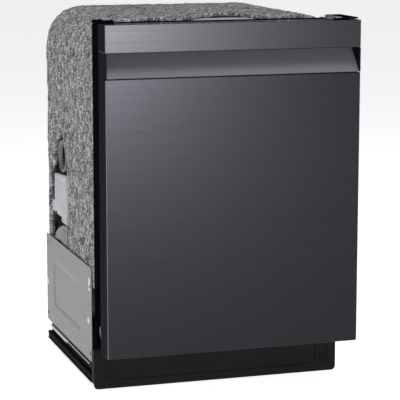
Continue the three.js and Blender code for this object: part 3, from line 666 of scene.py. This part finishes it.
make_door_skin("door_panel_skin", "door_outer_panel", PANEL_STEEL, 2.5 * MM, False)
make_door_skin("fascia_skin", "console_fascia", FASCIA_STEEL, 2.0 * MM, True)
make_pocket()
make_console()
make_door_inside()
make_dispenser()


# ---- insulation blanket ----
FELT_SEED = 7


def make_blanket():
    """The felt arch, remeshed from its CAD solid, then matted and pulled out of true by seeded noise."""
    noise.seed_set(FELT_SEED)  # noise_vector is seeded from the clock otherwise
    source = frame["nodes"]["blanket_wrap"].data.copy()
    felt_mat = bpy.data.objects.new("felt_blanket", source)
    bpy.context.scene.collection.objects.link(felt_mat)
    remesh = felt_mat.modifiers.new("remesh", "REMESH")
    remesh.mode = "VOXEL"
    remesh.voxel_size = 5 * MM
    mesh = bpy.data.meshes.new_from_object(felt_mat.evaluated_get(bpy.context.evaluated_depsgraph_get()))
    felt_mat.modifiers.clear()
    felt_mat.data = mesh
    bpy.data.meshes.remove(source)
    mesh.materials.clear()
    mesh.materials.append(FELT)
    for vertex in mesh.vertices:
        p = vertex.co.copy()
        broad = noise.noise_vector(p * 14) * 1.3 * MM
        lumps = noise.noise_vector(p * 45 + Vector((7, 3, 1))) * 1.5 * MM
        tufts = noise.noise_vector(p * 130) * 0.9 * MM
        vertex.co = p + broad + lumps + tufts
    mesh.shade_smooth()
    settle(felt_mat, "cabinet", ["blanket_wrap"])


make_blanket()


# ---- left wall fittings seen through the blanket's notch ----
def make_air_break():
    """A flat moulded water channel with a side tab, over a short outlet neck."""
    xs, ys, zs = box_of("air_break")
    face, back = xs[0], xs[1]
    left, right, bottom, top = ys[0], ys[1] - 29 * MM, zs[0] + 11 * MM, zs[1]
    body = [(left, bottom + 11 * MM), (left + 16 * MM, bottom), (right - 29 * MM, bottom),
            (right, bottom + 16 * MM), (right - 2 * MM, top - 11 * MM), (left + 7 * MM, top)]
    shape = Shape().prism(body, along_x, face + 3 * MM, back)
    centre = (left + right) / 2
    inner = [(centre + (y - centre) * 0.93, z + (1.6 * MM if z < bottom + 40 * MM else -3 * MM))
             for y, z in body]
    shape.prism(inner, along_x, face + 1.2 * MM, face + 4 * MM)
    for i in range(5):
        y = left + 22 * MM + i * 24 * MM
        path = bent([(face + 1.6 * MM, y, bottom + 16 * MM), (face + 1.6 * MM, y, top - 34 * MM),
                     (face + 1.6 * MM, y + 12 * MM, top - 22 * MM)], 8 * MM)
        shape.tube(path, 1.5 * MM, 8)
    shape.prism(rounded(ys[1] - 36 * MM, ys[1], bottom + 2 * MM, bottom + 30 * MM, 6 * MM), along_x,
                face + 3 * MM, back - 2 * MM)
    neck = rounded(left + 6 * MM, left + 64 * MM, zs[0], bottom + 4 * MM, 3 * MM)
    shape.prism(neck, along_x, face + 1.5 * MM, back - 1 * MM)
    shape.prism(rounded(left + 5 * MM, left + 66 * MM, zs[0] + 3 * MM, zs[0] + 6 * MM, 1 * MM), along_x,
                face + 0.8 * MM, back - 2 * MM)
    piece("air_break_channel", shape, PALE_PLASTIC, "cabinet", ["air_break"],
          bevel=1.2 * MM, segments=3)


def make_vent():
    """A round vent with a stepped rim and slats."""
    xs, ys, zs = box_of("vent_ring")
    centre, radius, face, back = (middle(ys), middle(zs)), (ys[1] - ys[0]) / 2, xs[0], xs[1]
    shape = Shape().ring(along_x, centre, [
        (radius, back), (radius, face + 2 * MM), (radius - 1.5 * MM, face + 0.4 * MM),
        (radius - 4 * MM, face), (radius - 6 * MM, face + 0.8 * MM), (radius - 11 * MM, back - 1.6 * MM),
        (radius - 11 * MM, back)], 48)
    piece("wall_vent", shape, GREY_PLASTIC, "cabinet", ["vent_ring"])
    grille = Shape().lathe(along_x, centre, [
        (0, back - 1.4 * MM), (radius - 10 * MM, back - 1.4 * MM), (radius - 10 * MM, back - 0.4 * MM),
        (0, back - 0.4 * MM)], 48)
    for i in range(-3, 4):
        v = i * 7.5 * MM
        half = math.sqrt((radius - 11 * MM) ** 2 - v ** 2)
        y, z = centre[0], centre[1] + v
        grille.prism(rounded(y - half, y + half, z - 1.2 * MM, z + 1.2 * MM, 1 * MM, 3), along_x,
                     back - 4 * MM, back - 1 * MM)
    piece("wall_vent_grille", grille, MASTIC, "cabinet")


def make_elbow():
    """A moulded elbow that turns from the air break's outlet to the rear, with two collars."""
    refined("inlet_elbow", ELBOW_PLASTIC, 4.5 * MM, 5)
    xs, ys, zs = box_of("inlet_elbow")
    collars = Shape()
    bands = ((57 * MM, zs[1] - 22 * MM, zs[1] - 17 * MM), (59 * MM, zs[0] + 4 * MM, zs[0] + 9 * MM))
    for reach, low, high in bands:
        band = rounded(ys[0] - 1 * MM, ys[0] + reach, low, high, 1.5 * MM, 3)
        collars.prism(band, along_x, xs[0] - 0.8 * MM, xs[1])
    piece("elbow_collars", collars, ELBOW_PLASTIC, "cabinet", bevel=0.4 * MM)


def make_damping_pads():
    """Black mastic pads on the tub's side walls, and a bright sheet on its top under the felt's front arc: a
    painted highlight for the lit tub top.
    """
    top = box_of("tub")[2][1]
    edge = box_of("blanket_wrap")[1][0]
    # A bright zinc sheet laid on the tub's top: a painted highlight where the felt's arch shows the tub.
    plate = Shape().prism(rounded(-80 * MM, 110 * MM, edge + 3 * MM, edge + 92 * MM, 6 * MM), along_z,
                          top + 0.05 * MM, top + 0.7 * MM)
    piece("tub_top_painted_highlight", plate, HIGHLIGHT_ZINC, "cabinet")
    pads = Shape()
    for _, s in SIDES:
        pads.prism(rounded(60 * MM, 274 * MM, 210 * MM, 590 * MM, 12 * MM), along_x,
                   *mirrored(s, 280.9 * MM, 282.3 * MM))
    piece("tub_damping_pads", pads, MASTIC, "cabinet", bevel=0.4 * MM)


make_air_break()
make_vent()
make_elbow()
make_damping_pads()


# ---- side panels, frame and base ----
def make_side_panel(side, s):
    """A zinc sheet with a pressed rounded field, rolled edges, dimples and screws."""
    xs, ys, zs = box_of(f"side_panel_{side}")
    face = s * max(abs(x) for x in xs)
    skin = 1.2 * MM
    corner = [10 * MM, 6 * MM, 4 * MM, 4 * MM]

    def edge(inset):
        return rounded(ys[0] + inset, ys[1] - inset, zs[0] + inset, zs[1] - inset,
                       [max(r - inset, 0.5 * MM) for r in corner], 8)

    field = shrinking(-54 * MM, 236 * MM, 110 * MM, 231 * MM, 22 * MM, 8)
    rings = [(edge(1.5 * MM), skin + 0.6 * MM), (edge(0.3 * MM), skin), (edge(0), 0.8 * MM),
             (edge(0.4 * MM), 0.25 * MM), (edge(1.2 * MM), 0)]
    rings += [(field(-1.5 * MM), 0), (field(0), 0.2 * MM), (field(2.5 * MM), 0.7 * MM),
              (field(5 * MM), 1.4 * MM), (field(7.5 * MM), 2.0 * MM), (field(9 * MM), 2.2 * MM)]
    back = [(field(7 * MM), 2.2 * MM + skin), (field(3 * MM), 1.4 * MM + skin), (field(-1.0 * MM), skin)]
    shape = Shape().stack(along_x, [(ring, face - s * depth) for ring, depth in back + rings])
    for y, z in ((-142, 80), (-142, 240), (298, 80), (298, 262)):
        screw(shape, along_x, (y * MM, z * MM), face, s, 3.4 * MM)
    piece(f"side_panel_{side}_pressed", shape, ZINC, "cabinet", [f"side_panel_{side}"])
    bosses = Shape()
    for y, z in ((-127, 157), (300, 163)):
        bosses.lathe(along_x, (y * MM, z * MM), [
            (0, face - 0.6 * MM * s), (10 * MM, face - 0.6 * MM * s), (8.5 * MM, face + 0.5 * MM * s),
            (6 * MM, face + 1.3 * MM * s), (3 * MM, face + 1.7 * MM * s), (0, face + 1.8 * MM * s)], 28)
    bosses.pillow(along_x, shrinking(-144 * MM, -130 * MM, 228 * MM, 262 * MM, 6.9 * MM), [
        (0, face - 0.5 * MM * s), (0, face), (1 * MM, face + 0.9 * MM * s), (3 * MM, face + 1.4 * MM * s)])
    # The bosses are drawn in the lit zinc: a painted highlight on the dimples.
    piece(f"side_panel_{side}_bosses", bosses, HIGHLIGHT_ZINC, "cabinet")


def make_frame():
    refined("frame_top_rail", FRAME_PAINT, 0.5 * MM)
    for side, s in SIDES:
        refined(f"frame_post_{side}", FRAME_PAINT, 1.2 * MM, 3)
        refined(f"mount_bracket_{side}", ZINC if s > 0 else FRAME_PAINT, 0.3 * MM)
        refined(f"hinge_pin_{side}", FRAME_PAINT, 0.5 * MM)
        xs, ys, zs = box_of(f"hinge_pin_{side}")
        outer = s * max(abs(x) for x in xs)
        hardware = Shape()
        for behind, below in ((14 * MM, 14 * MM), (44 * MM, 12 * MM)):
            screw(hardware, along_x, (ys[1] - behind, zs[1] - below), outer - s * 13.4 * MM, s)
        piece(f"hinge_screws_{side}", hardware, BRIGHT_STEEL, "cabinet")


THREAD_TURNS, THREAD_PITCH = 27, 3.2 * MM


def make_base():
    """The base tray with ribs along both rails, the four levelling feet and the levelling rod."""
    refined("base_pan", BLACK_PLASTIC, 0.8 * MM)
    xs, ys, zs = box_of("base_pan")
    ribs = Shape()
    for _, s in SIDES:
        edge = s * xs[1]
        low, high = sorted((edge - s * 0.5 * MM, edge + s * 1.8 * MM))
        for i in range(19):
            y = ys[0] + 16 * MM + i * 24 * MM
            ribs.prism(rounded(y, y + 3 * MM, zs[0] + 2 * MM, 26 * MM, 1.2 * MM, 2), along_x, low, high)
        for z in (11 * MM, 24 * MM):
            rail = rounded(ys[0] + 8 * MM, ys[1] - 4 * MM, z - 1.5 * MM, z + 1.5 * MM, 1.2 * MM, 2)
            ribs.prism(rail, along_x, low, high)
    piece("base_ribs", ribs, BLACK_PLASTIC, "cabinet")
    for name in ("front_left", "front_right", "rear_left", "rear_right"):
        xs, ys, (z0, z1) = box_of(f"foot_{name}")
        centre = (middle(xs), middle(ys))
        pad = (xs[1] - xs[0]) / 2
        foot = Shape().lathe(along_z, centre, [
            (0, z0), (pad - 2 * MM, z0), (pad, z0 + 1.5 * MM), (pad, z0 + 5 * MM),
            (pad - 2 * MM, z0 + 7.6 * MM), (9 * MM, z0 + 7.9 * MM), (0, z0 + 7.9 * MM)], 36)
        stem = [(0, z0 + 7.5 * MM)]
        for i in range(THREAD_TURNS):
            z = z0 + 7.8 * MM + i * THREAD_PITCH
            stem += [(5.2 * MM, z), (5.95 * MM, z + 1.0 * MM), (5.95 * MM, z + 1.6 * MM),
                     (5.2 * MM, z + 2.6 * MM)]
        stem += [(5.2 * MM, z1), (0, z1)]
        foot.lathe(along_z, centre, stem, 20)
        piece(f"foot_{name}_fine", foot, BLACK_PLASTIC, f"foot_{name}", [f"foot_{name}"])
    xs, ys, zs = box_of("leg_rod")
    cx, cz = middle(xs), middle(zs) - 4 * MM
    rod = Shape().tube([(cx, ys[0], cz), (cx, ys[1], cz)], 1.4 * MM, 12)
    sleeve = [(0, 112), (3.4, 112), (4.0, 114)]
    for i in range(12):
        y = 118 + i * 12.5
        sleeve += [(4.0, y), (4.4, y + 1.5), (4.4, y + 8), (4.0, y + 9.5)]
    sleeve += [(4.0, 268), (3.0, 270), (0, 270)]
    rod.lathe(along_y, (cx, cz), [(r * MM, y * MM) for r, y in sleeve], 20)
    rod.lathe(along_y, (cx, cz), [
        (0, ys[1] - 12 * MM), (2.6 * MM, ys[1] - 12 * MM), (2.6 * MM, ys[1]), (0, ys[1])], 6)
    piece("leveling_rod", rod, WHITE_PLASTIC, "cabinet", ["leg_rod"])


def make_toe_panel():
    """The pressed toe plate, with screws behind its two obround slots."""
    refined("toe_panel", TOE_PAINT, 0.9 * MM, 3)
    face = box_of("toe_panel")[1][0]
    fasteners, seats = Shape(), Shape()
    for _, s in SIDES:
        x = s * 269 * MM
        seats.prism(rounded(x - 13 * MM, x + 13 * MM, 20 * MM, 74 * MM, 12.8 * MM), along_y,
                    face + 3.4 * MM, face + 2.2 * MM)
        screw(fasteners, along_y, (x, 40 * MM), face + 2.3 * MM, -1, 5 * MM)
    piece("toe_slot_seats", seats, BLACK_PLASTIC, "cabinet")
    piece("toe_screws", fasteners, TOE_PAINT, "cabinet")


for side_name, sign in SIDES:
    make_side_panel(side_name, sign)
make_frame()
make_base()
make_toe_panel()


# ---- services at the back and under the tub ----
def make_services():
    refined("rear_brace", ZINC, 0.5 * MM)
    refined("inlet_valve", WHITE_PLASTIC, 1.5 * MM, 3)
    refined("junction_box", ZINC, 0.4 * MM)
    refined("sump", GREY_PLASTIC, 0.6 * MM)
    refined("feed_tube", GREY_PLASTIC, 4 * MM, 4)
    refined("latch_strike", BRIGHT_STEEL, 0.4 * MM)
    xs, ys, zs = box_of("wash_motor")
    centre, radius = (middle(ys), middle(zs)), (zs[1] - zs[0]) / 2
    start, shoulder, end = xs[0], xs[0] + 18 * MM, xs[1]
    profile = [(0, start), (17 * MM, start), (22 * MM, start + 2 * MM), (24 * MM, start + 5 * MM),
               (24 * MM, shoulder), (radius - 3 * MM, shoulder), (radius, shoulder + 3 * MM)]
    for i in range(9):
        x = shoulder + 8 * MM + i * 7 * MM
        groove = radius - 1.6 * MM
        profile += [(radius, x), (groove, x + 1 * MM), (groove, x + 3 * MM), (radius, x + 4 * MM)]
    profile += [(radius, end - 2 * MM), (radius - 2 * MM, end), (0, end)]
    can = Shape().lathe(along_x, centre, profile, 40)
    piece("wash_motor_can", can, BLACK_PLASTIC, "cabinet", ["wash_motor"])
    xs, ys, zs = box_of("drain_pump")
    centre, radius = (140 * MM, middle(zs)), (zs[1] - zs[0]) / 2
    pump = Shape().lathe(along_x, centre, [
        (0, xs[0]), (radius - 3 * MM, xs[0]), (radius, xs[0] + 3 * MM), (radius, xs[0] + 20 * MM),
        (radius - 2 * MM, xs[0] + 22 * MM), (radius - 2 * MM, xs[0] + 40 * MM), (radius, xs[0] + 42 * MM),
        (radius, xs[1] - 3 * MM), (radius - 3 * MM, xs[1]), (0, xs[1])], 36)
    barbs = [(0, centre[0]), (10 * MM, centre[0])]
    for i in range(4):
        y = ys[1] - 40 * MM + i * 9 * MM
        barbs += [(8.5 * MM, y), (10 * MM, y + 1 * MM), (8.5 * MM, y + 8 * MM)]
    barbs += [(8 * MM, ys[1]), (0, ys[1])]
    pump.lathe(along_y, (xs[1] - 32 * MM, centre[1]), barbs, 24)
    piece("drain_pump_fine", pump, GREY_PLASTIC, "cabinet", ["drain_pump"])


make_services()


# ---- tub interior ----
SUMP_CENTRE = (0, 20 * MM)


def make_tub():
    """The deep-drawn tub: an arched shell with a rounded rear wall, side beads and a sump hole."""
    xs, ys, zs = box_of("tub")
    sheet = 1 * MM

    def arch(inset):
        return rounded(xs[0] + inset, xs[1] - inset, zs[0] + inset, zs[1] - inset,
                       [30 * MM - inset * 0.6] * 2 + [74 * MM - inset] * 2, 10)

    bend = quarter(12 * MM)
    outer = [(g, ys[1] - d) for g, d in reversed(bend)]
    inner = [(sheet + g * 0.93, ys[1] - sheet - d * 0.93) for g, d in bend]
    shape = Shape().pillow(along_y, arch, outer + [(0, ys[0]), (sheet, ys[0])] + inner)
    tub = piece("tub_shell", shape, TUB_STEEL, "cabinet", ["tub"])
    hole = Shape().lathe(along_z, SUMP_CENTRE, [
        (0, zs[0] - 5 * MM), (126 * MM, zs[0] - 5 * MM), (126 * MM, zs[0] + 6 * MM), (0, zs[0] + 6 * MM)], 48)
    subtract(tub, hole)
    ribs = Shape()
    for _, s in SIDES:
        wall = s * (xs[1] - sheet)
        for z in (250, 330, 410, 480, 640, 710):
            bead = shrinking(-170 * MM, 240 * MM, z * MM - 6 * MM, z * MM + 6 * MM, 5.9 * MM)
            ribs.pillow(along_x, bead, [
                (0, wall + s * 0.3 * MM), (0, wall - s * 0.1 * MM), (1.5 * MM, wall - s * 1.2 * MM),
                (3.4 * MM, wall - s * 1.6 * MM)])
    back = ys[1] - sheet
    for x in (-190, -130, -70, 70, 130, 190):
        bead = shrinking(x * MM - 7 * MM, x * MM + 7 * MM, 230 * MM, 760 * MM, 6.9 * MM)
        ribs.pillow(along_y, bead, [
            (0, back + 0.3 * MM), (0, back - 0.1 * MM), (1.5 * MM, back - 1.2 * MM),
            (3.4 * MM, back - 1.6 * MM)])
    piece("tub_beads", ribs, TUB_STEEL, "cabinet")


def make_gasket():
    """A hollow-lipped rubber seal round the tub's mouth, open at the bottom."""
    xs, ys, zs = box_of("door_gasket")
    radius = (ys[1] - ys[0]) / 2
    y = middle(ys)
    inset = 4.5 * MM
    corners = [0.01 * MM] * 2 + [70 * MM] * 2
    arch = rounded(xs[0] + inset, xs[1] - inset, 0, zs[1] - inset, corners, 10)
    right = [p for p in arch if p[0] > 0 and p[1] > zs[0]]
    left = [p for p in arch if p[0] < 0 and p[1] > zs[0]]
    path = [(xs[1] - inset, zs[0])] + right + left + [(xs[0] + inset, zs[0])]
    shape = Shape().tube([(u, y, v) for u, v in path], radius, 12)
    lip = [(u * 0.992, y - 0.2 * MM, v - 2.6 * MM if v > zs[0] else v) for u, v in path]
    shape.tube(lip, radius * 0.55, 8)
    piece("door_seal", shape, DARK_RUBBER, "cabinet", ["door_gasket"])


def make_filters():
    xs, _, zs = box_of("filter_plate")
    radius, top = (xs[1] - xs[0]) / 2, zs[1]
    cup_x, cup_y = (middle(span) for span in box_of("filter_cup")[:2])
    refined("filter_plate", BRIGHT_STEEL, 0.3 * MM)
    holes = Shape()
    for r in range(28, 148, 8):
        count = int(2 * math.pi * r / 9)
        for i in range(count):
            a = 2 * math.pi * i / count
            x, y = SUMP_CENTRE[0] + r * MM * math.cos(a), SUMP_CENTRE[1] + r * MM * math.sin(a)
            if math.hypot(x - cup_x, y - cup_y) > 45 * MM and r * MM < radius - 8 * MM:
                holes.prism(circle(x, y, 1.6 * MM, 6), along_z, top - 0.3 * MM, top + 0.05 * MM)
    piece("filter_perforations", holes, BLACK_PLASTIC, "cabinet")
    (x0, x1), (y0, y1), (z0, z1) = box_of("filter_cup")
    centre, radius = ((x0 + x1) / 2, (y0 + y1) / 2), (x1 - x0) / 2
    cup = Shape().ring(along_z, centre, [
        (radius - 2 * MM, z0), (radius - 0.6 * MM, z0), (radius - 0.6 * MM, 148 * MM), (radius, 150 * MM),
        (radius, 160 * MM), (radius - 2.6 * MM, 160 * MM), (radius - 2.6 * MM, z0)], 48)
    cup.lathe(along_z, centre, [
        (0, z0), (radius - 1 * MM, z0), (radius - 1 * MM, z0 + 2 * MM), (0, z0 + 2 * MM)], 40)
    for i in range(24):
        a = 2 * math.pi * i / 24
        x, y = centre[0] + (radius - 0.6 * MM) * math.cos(a), centre[1] + (radius - 0.6 * MM) * math.sin(a)
        cup.tube([(x, y, z0 + 3 * MM), (x, y, 146 * MM)], 0.6 * MM, 6)
    cup.prism(rounded(centre[0] - 3 * MM, centre[0] + 3 * MM, y0 + 3 * MM, y1 - 3 * MM, 2.6 * MM, 4), along_z,
              120 * MM, z1)
    piece("filter_cup_fine", cup, GREY_PLASTIC, "filter_cup", ["filter_cup"],
          bevel=0.3 * MM, segments=1)
    xs, ys, (z0, z1) = box_of("float_dome")
    radius = (xs[1] - xs[0]) / 2
    turns = [math.radians(9 * i) for i in range(11)]
    curve = [(radius * math.cos(a), z1 - 16 * MM + 16 * MM * math.sin(a)) for a in turns]
    dome = Shape().lathe(along_z, (middle(xs), middle(ys)), [
        (0, z0), (radius, z0), (radius, z0 + 3 * MM), (radius - 0.8 * MM, z0 + 4 * MM)] + curve, 36)
    piece("float_dome_fine", dome, GREY_PLASTIC, "float_dome", ["float_dome"])


BLADE_HEIGHTS = {"lower_spray_arm": (187, 199), "middle_spray_arm": (520, 532), "top_spray_arm": (814, 826)}


def make_spray_arm(node):
    """A blade, thick in the middle and thin at its tips, with a row of nozzles."""
    xs, ys, zs = box_of(node)
    centre_y = middle(ys)
    half, width = (xs[1] - xs[0]) / 2, (ys[1] - ys[0]) / 2 - 4 * MM
    low, high = BLADE_HEIGHTS[node]
    mid, thick = (low + high) / 2 * MM, (high - low) / 2 * MM
    rings = []
    for i in range(33):
        t = -1 + 2 * i / 32
        x = half * math.sin(t * math.pi / 2)
        taper = max(0.02, 1 - abs(x / half) ** 6) ** 0.5
        reach = (width * (1 - 0.52 * abs(x / half) ** 0.9)) * taper
        height = thick * (1 - 0.25 * abs(x / half)) * taper
        rings.append([
            (x, centre_y + reach * math.cos(a),
             mid + height * math.copysign(abs(math.sin(a)) ** 0.8, math.sin(a)))
            for a in (2 * math.pi * k / 24 for k in range(24))])
    arm = Shape().loft(rings)
    hub_low, hub_high = zs
    arm.lathe(along_z, (0, centre_y), [
        (0, hub_low), (24 * MM, hub_low), (28 * MM, hub_low + 2 * MM), (30 * MM, mid),
        (27 * MM, hub_high - 3 * MM), (20 * MM, hub_high - 0.6 * MM), (17 * MM, hub_high), (0, hub_high)], 40)
    jets = Shape()
    for i in range(6):
        for s in (-1, 1):
            x = s * (52 + i * 25) * MM
            y = centre_y + s * (6 if i % 2 else -5) * MM
            top = mid + thick * (1 - 0.25 * abs(x / half)) * 0.9
            arm.lathe(along_z, (x, y), [
                (0, top - 1.5 * MM), (5 * MM, top - 1.5 * MM), (4 * MM, top + 0.9 * MM),
                (0, top + 0.9 * MM)], 18)
            jets.prism(rounded(x - 2.6 * MM, x + 2.6 * MM, y - 0.8 * MM, y + 0.8 * MM, 0.7 * MM, 3), along_z,
                       top + 0.5 * MM, top + 1.05 * MM)
    piece(f"{node}_fine", arm, GREY_PLASTIC, BODY_OF[node], [node])
    piece(f"{node}_jets", jets, BLACK_PLASTIC, BODY_OF[node])


make_tub()
make_gasket()
make_filters()
for arm_node in BLADE_HEIGHTS:
    make_spray_arm(arm_node)


# ---- racks ----
THICK, THIN = 2.4 * MM, 1.7 * MM


def rack_shell(shape, xs, ys, floor, top, flare=0.0, belts=2, step=30 * MM):
    """A wire basket: rim, belts and a U of wire every step in both directions."""
    inset = 2.4 * MM
    x0, x1, y0, y1 = xs[0] + inset, xs[1] - inset, ys[0] + inset, ys[1] - inset
    low = floor + inset

    def loop(z, grow, radius):
        ring = rounded(x0 + grow, x1 - grow, y0 + grow, y1 - grow, 18 * MM, 5)
        shape.tube([(u, v, z) for u, v in ring], radius, 8, closed=True)

    loop(top - inset, 0, THICK)
    for i in range(1, belts + 1):
        z = low + (top - low) * i / (belts + 1)
        loop(z, flare * (1 - i / (belts + 1)) + THIN, THIN)
    count = round((x1 - x0) / step)
    for i in range(1, count):
        x = x0 + (x1 - x0) * i / count
        wire = [(x, y0, top - inset), (x, y0 + flare, low), (x, y1 - flare, low), (x, y1, top - inset)]
        shape.tube(bent(wire, 14 * MM), THIN, 6)
    count = round((y1 - y0) / step)
    for i in range(1, count):
        y = y0 + (y1 - y0) * i / count
        wire = [(x0, y, top - inset), (x0 + flare, y, low + THIN), (x1 - flare, y, low + THIN),
                (x1, y, top - inset)]
        shape.tube(bent(wire, 14 * MM), THIN, 6)


def tine(shape, x, y, floor, height):
    shape.tube([(x, y, floor), (x, y, floor + height * 0.8), (x, y + 1.5 * MM, floor + height)], THIN, 6)


def wheel(shape, side, y, z, radius, inner, outer):
    """A grooved roller with a spoked face."""
    a, b = side * inner, side * outer
    shape.ring(along_x, (y, z), [
        (radius, a), (radius, b - side * 1 * MM), (radius - 1 * MM, b), (radius - 3.5 * MM, b),
        (radius - 4 * MM, b - side * 2.5 * MM), (radius - 4 * MM, a)], 32)
    cap = b - side * 0.5 * MM
    shape.lathe(along_x, (y, z), [(0, a), (5 * MM, a), (5 * MM, cap), (0, cap)], 20)
    for k in range(5):
        angle = 2 * math.pi * k / 5
        spoke = [((a + b) / 2, y + reach * math.cos(angle), z + reach * math.sin(angle))
                 for reach in (4 * MM, radius - 3 * MM)]
        shape.tube(spoke, 1.6 * MM, 6)


TINE_XS = [(-178.5 + 42 * i) * MM for i in range(9)]


def make_lower_rack():
    xs, ys, zs = box_of("lower_rack")
    floor, top = 226 * MM, zs[1]
    rack = Shape()
    rack_shell(rack, xs, ys, floor, top, flare=3 * MM, belts=2)
    for x in TINE_XS:
        tine(rack, x, 114 * MM, floor + 2 * MM, 82 * MM)
    piece("lower_rack_wires", rack, NYLON, "lower_rack", ["lower_rack"])
    wheels = Shape()
    for _, s in SIDES:
        for y in (-118 * MM, 170 * MM):
            wheel(wheels, s, y, 170 * MM, 18 * MM, 237 * MM, 247 * MM)
            wheels.tube([(s * 244 * MM, y, 170 * MM), (s * 250 * MM, y, 170 * MM)], 3 * MM, 10)
            wheels.prism(rounded(y - 6 * MM, y + 6 * MM, 164 * MM, floor + 2 * MM, 3 * MM, 3), along_x,
                         *mirrored(s, 248.6 * MM, 251.4 * MM))
    piece("lower_rack_wheels", wheels, GREY_PLASTIC, "lower_rack")
    folding = Shape().tube([(-200 * MM, 5 * MM, 234 * MM), (200 * MM, 5 * MM, 234 * MM)], 2.2 * MM, 8)
    for x in TINE_XS:
        tine(folding, x, 5 * MM, 234 * MM, 69 * MM)
    piece("folding_tines", folding, NYLON, "tine_row", ["tine_row"])


def make_upper_racks():
    xs, ys, zs = box_of("upper_rack")
    rack = Shape()
    rack_shell(rack, xs, (ys[0], 225 * MM), 548 * MM, zs[1], flare=4 * MM, belts=2)
    for y in (-104 * MM, 114 * MM):
        for x in TINE_XS:
            tine(rack, x, y, 550 * MM, 58 * MM)
    piece("upper_rack_wires", rack, NYLON, "upper_rack", ["upper_rack"])
    feed = Shape().prism(rounded(-13 * MM, 13 * MM, 536 * MM, 550 * MM, 4 * MM), along_y, 20 * MM, 256 * MM)
    feed.lathe(along_z, SUMP_CENTRE, [
        (0, 536 * MM), (20 * MM, 536 * MM), (22 * MM, 539 * MM), (22 * MM, 548 * MM), (19 * MM, 550 * MM),
        (0, 550 * MM)], 32)
    piece("upper_rack_manifold", feed, GREY_PLASTIC, "upper_rack")
    xs, ys, zs = box_of("third_rack")
    tray = Shape()
    rack_shell(tray, (-262 * MM, 262 * MM), ys, zs[0], zs[1], flare=2 * MM, belts=1, step=21 * MM)
    for _, s in SIDES:
        tray.prism(rounded(-205 * MM, 215 * MM, zs[1] - 12 * MM, zs[1] - 6 * MM, 2.5 * MM, 4), along_x,
                   *mirrored(s, 258 * MM, 268 * MM))
    piece("third_rack_wires", tray, NYLON, "third_rack", ["third_rack"])
    for side, s in SIDES:
        refined(f"rack_rail_{side}", BRIGHT_STEEL, 0.3 * MM, 1)
        rollers = Shape()
        for y in (-190 * MM, -60 * MM, 70 * MM, 190 * MM):
            rollers.lathe(along_x, (y, 591 * MM), [
                (0, s * 263 * MM), (9 * MM, s * 263 * MM), (10.3 * MM, s * 264 * MM),
                (10.3 * MM, s * 269 * MM), (0, s * 269 * MM)], 28)
        piece(f"rail_rollers_{side}", rollers, GREY_PLASTIC, f"rack_rail_{side}")


def make_silverware_basket():
    """Four cells with slotted walls."""
    xs, ys, zs = box_of("silverware_basket")
    basket = Shape()
    basket.prism(rounded(xs[0], xs[1], ys[0], ys[1], 5 * MM), along_z, zs[0], zs[0] + 3 * MM)
    wall = 2.6 * MM
    outer = rounded(xs[0], xs[1], ys[0], ys[1], 5 * MM)
    inner = rounded(xs[0] + wall, xs[1] - wall, ys[0] + wall, ys[1] - wall, 3 * MM)
    bands = ((zs[0] + 2 * MM, zs[0] + 16 * MM), (zs[0] + 50 * MM, zs[0] + 56 * MM), (zs[1] - 10 * MM, zs[1]))
    for low, high in bands:
        basket.stack(along_z, [(outer, low), (outer, high), (inner, high), (inner, low)], ends=False)
    columns = 38
    for i in range(1, columns):
        x = xs[0] + (xs[1] - xs[0]) * i / columns
        for y in (ys[0] + 0.2 * MM, ys[1] - wall + 0.2 * MM):
            basket.block((x - 1.3 * MM, x + 1.3 * MM), (y, y + 2.2 * MM), (zs[0] + 2 * MM, zs[1] - 4 * MM))
    for i in range(1, 8):
        y = ys[0] + (ys[1] - ys[0]) * i / 8
        for x in (xs[0] + 0.2 * MM, xs[1] - wall + 0.2 * MM):
            basket.block((x, x + 2.2 * MM), (y - 1.3 * MM, y + 1.3 * MM), (zs[0] + 2 * MM, zs[1] - 4 * MM))
    for i in (1, 2, 3):
        x = xs[0] + (xs[1] - xs[0]) * i / 4
        basket.block((x - 1.3 * MM, x + 1.3 * MM), (ys[0] + 1 * MM, ys[1] - 1 * MM),
                     (zs[0] + 2 * MM, zs[1] - 3 * MM))
    piece("cutlery_basket", basket, GREY_PLASTIC, "silverware_basket", ["silverware_basket"])


make_lower_rack()
make_upper_racks()
make_silverware_basket()
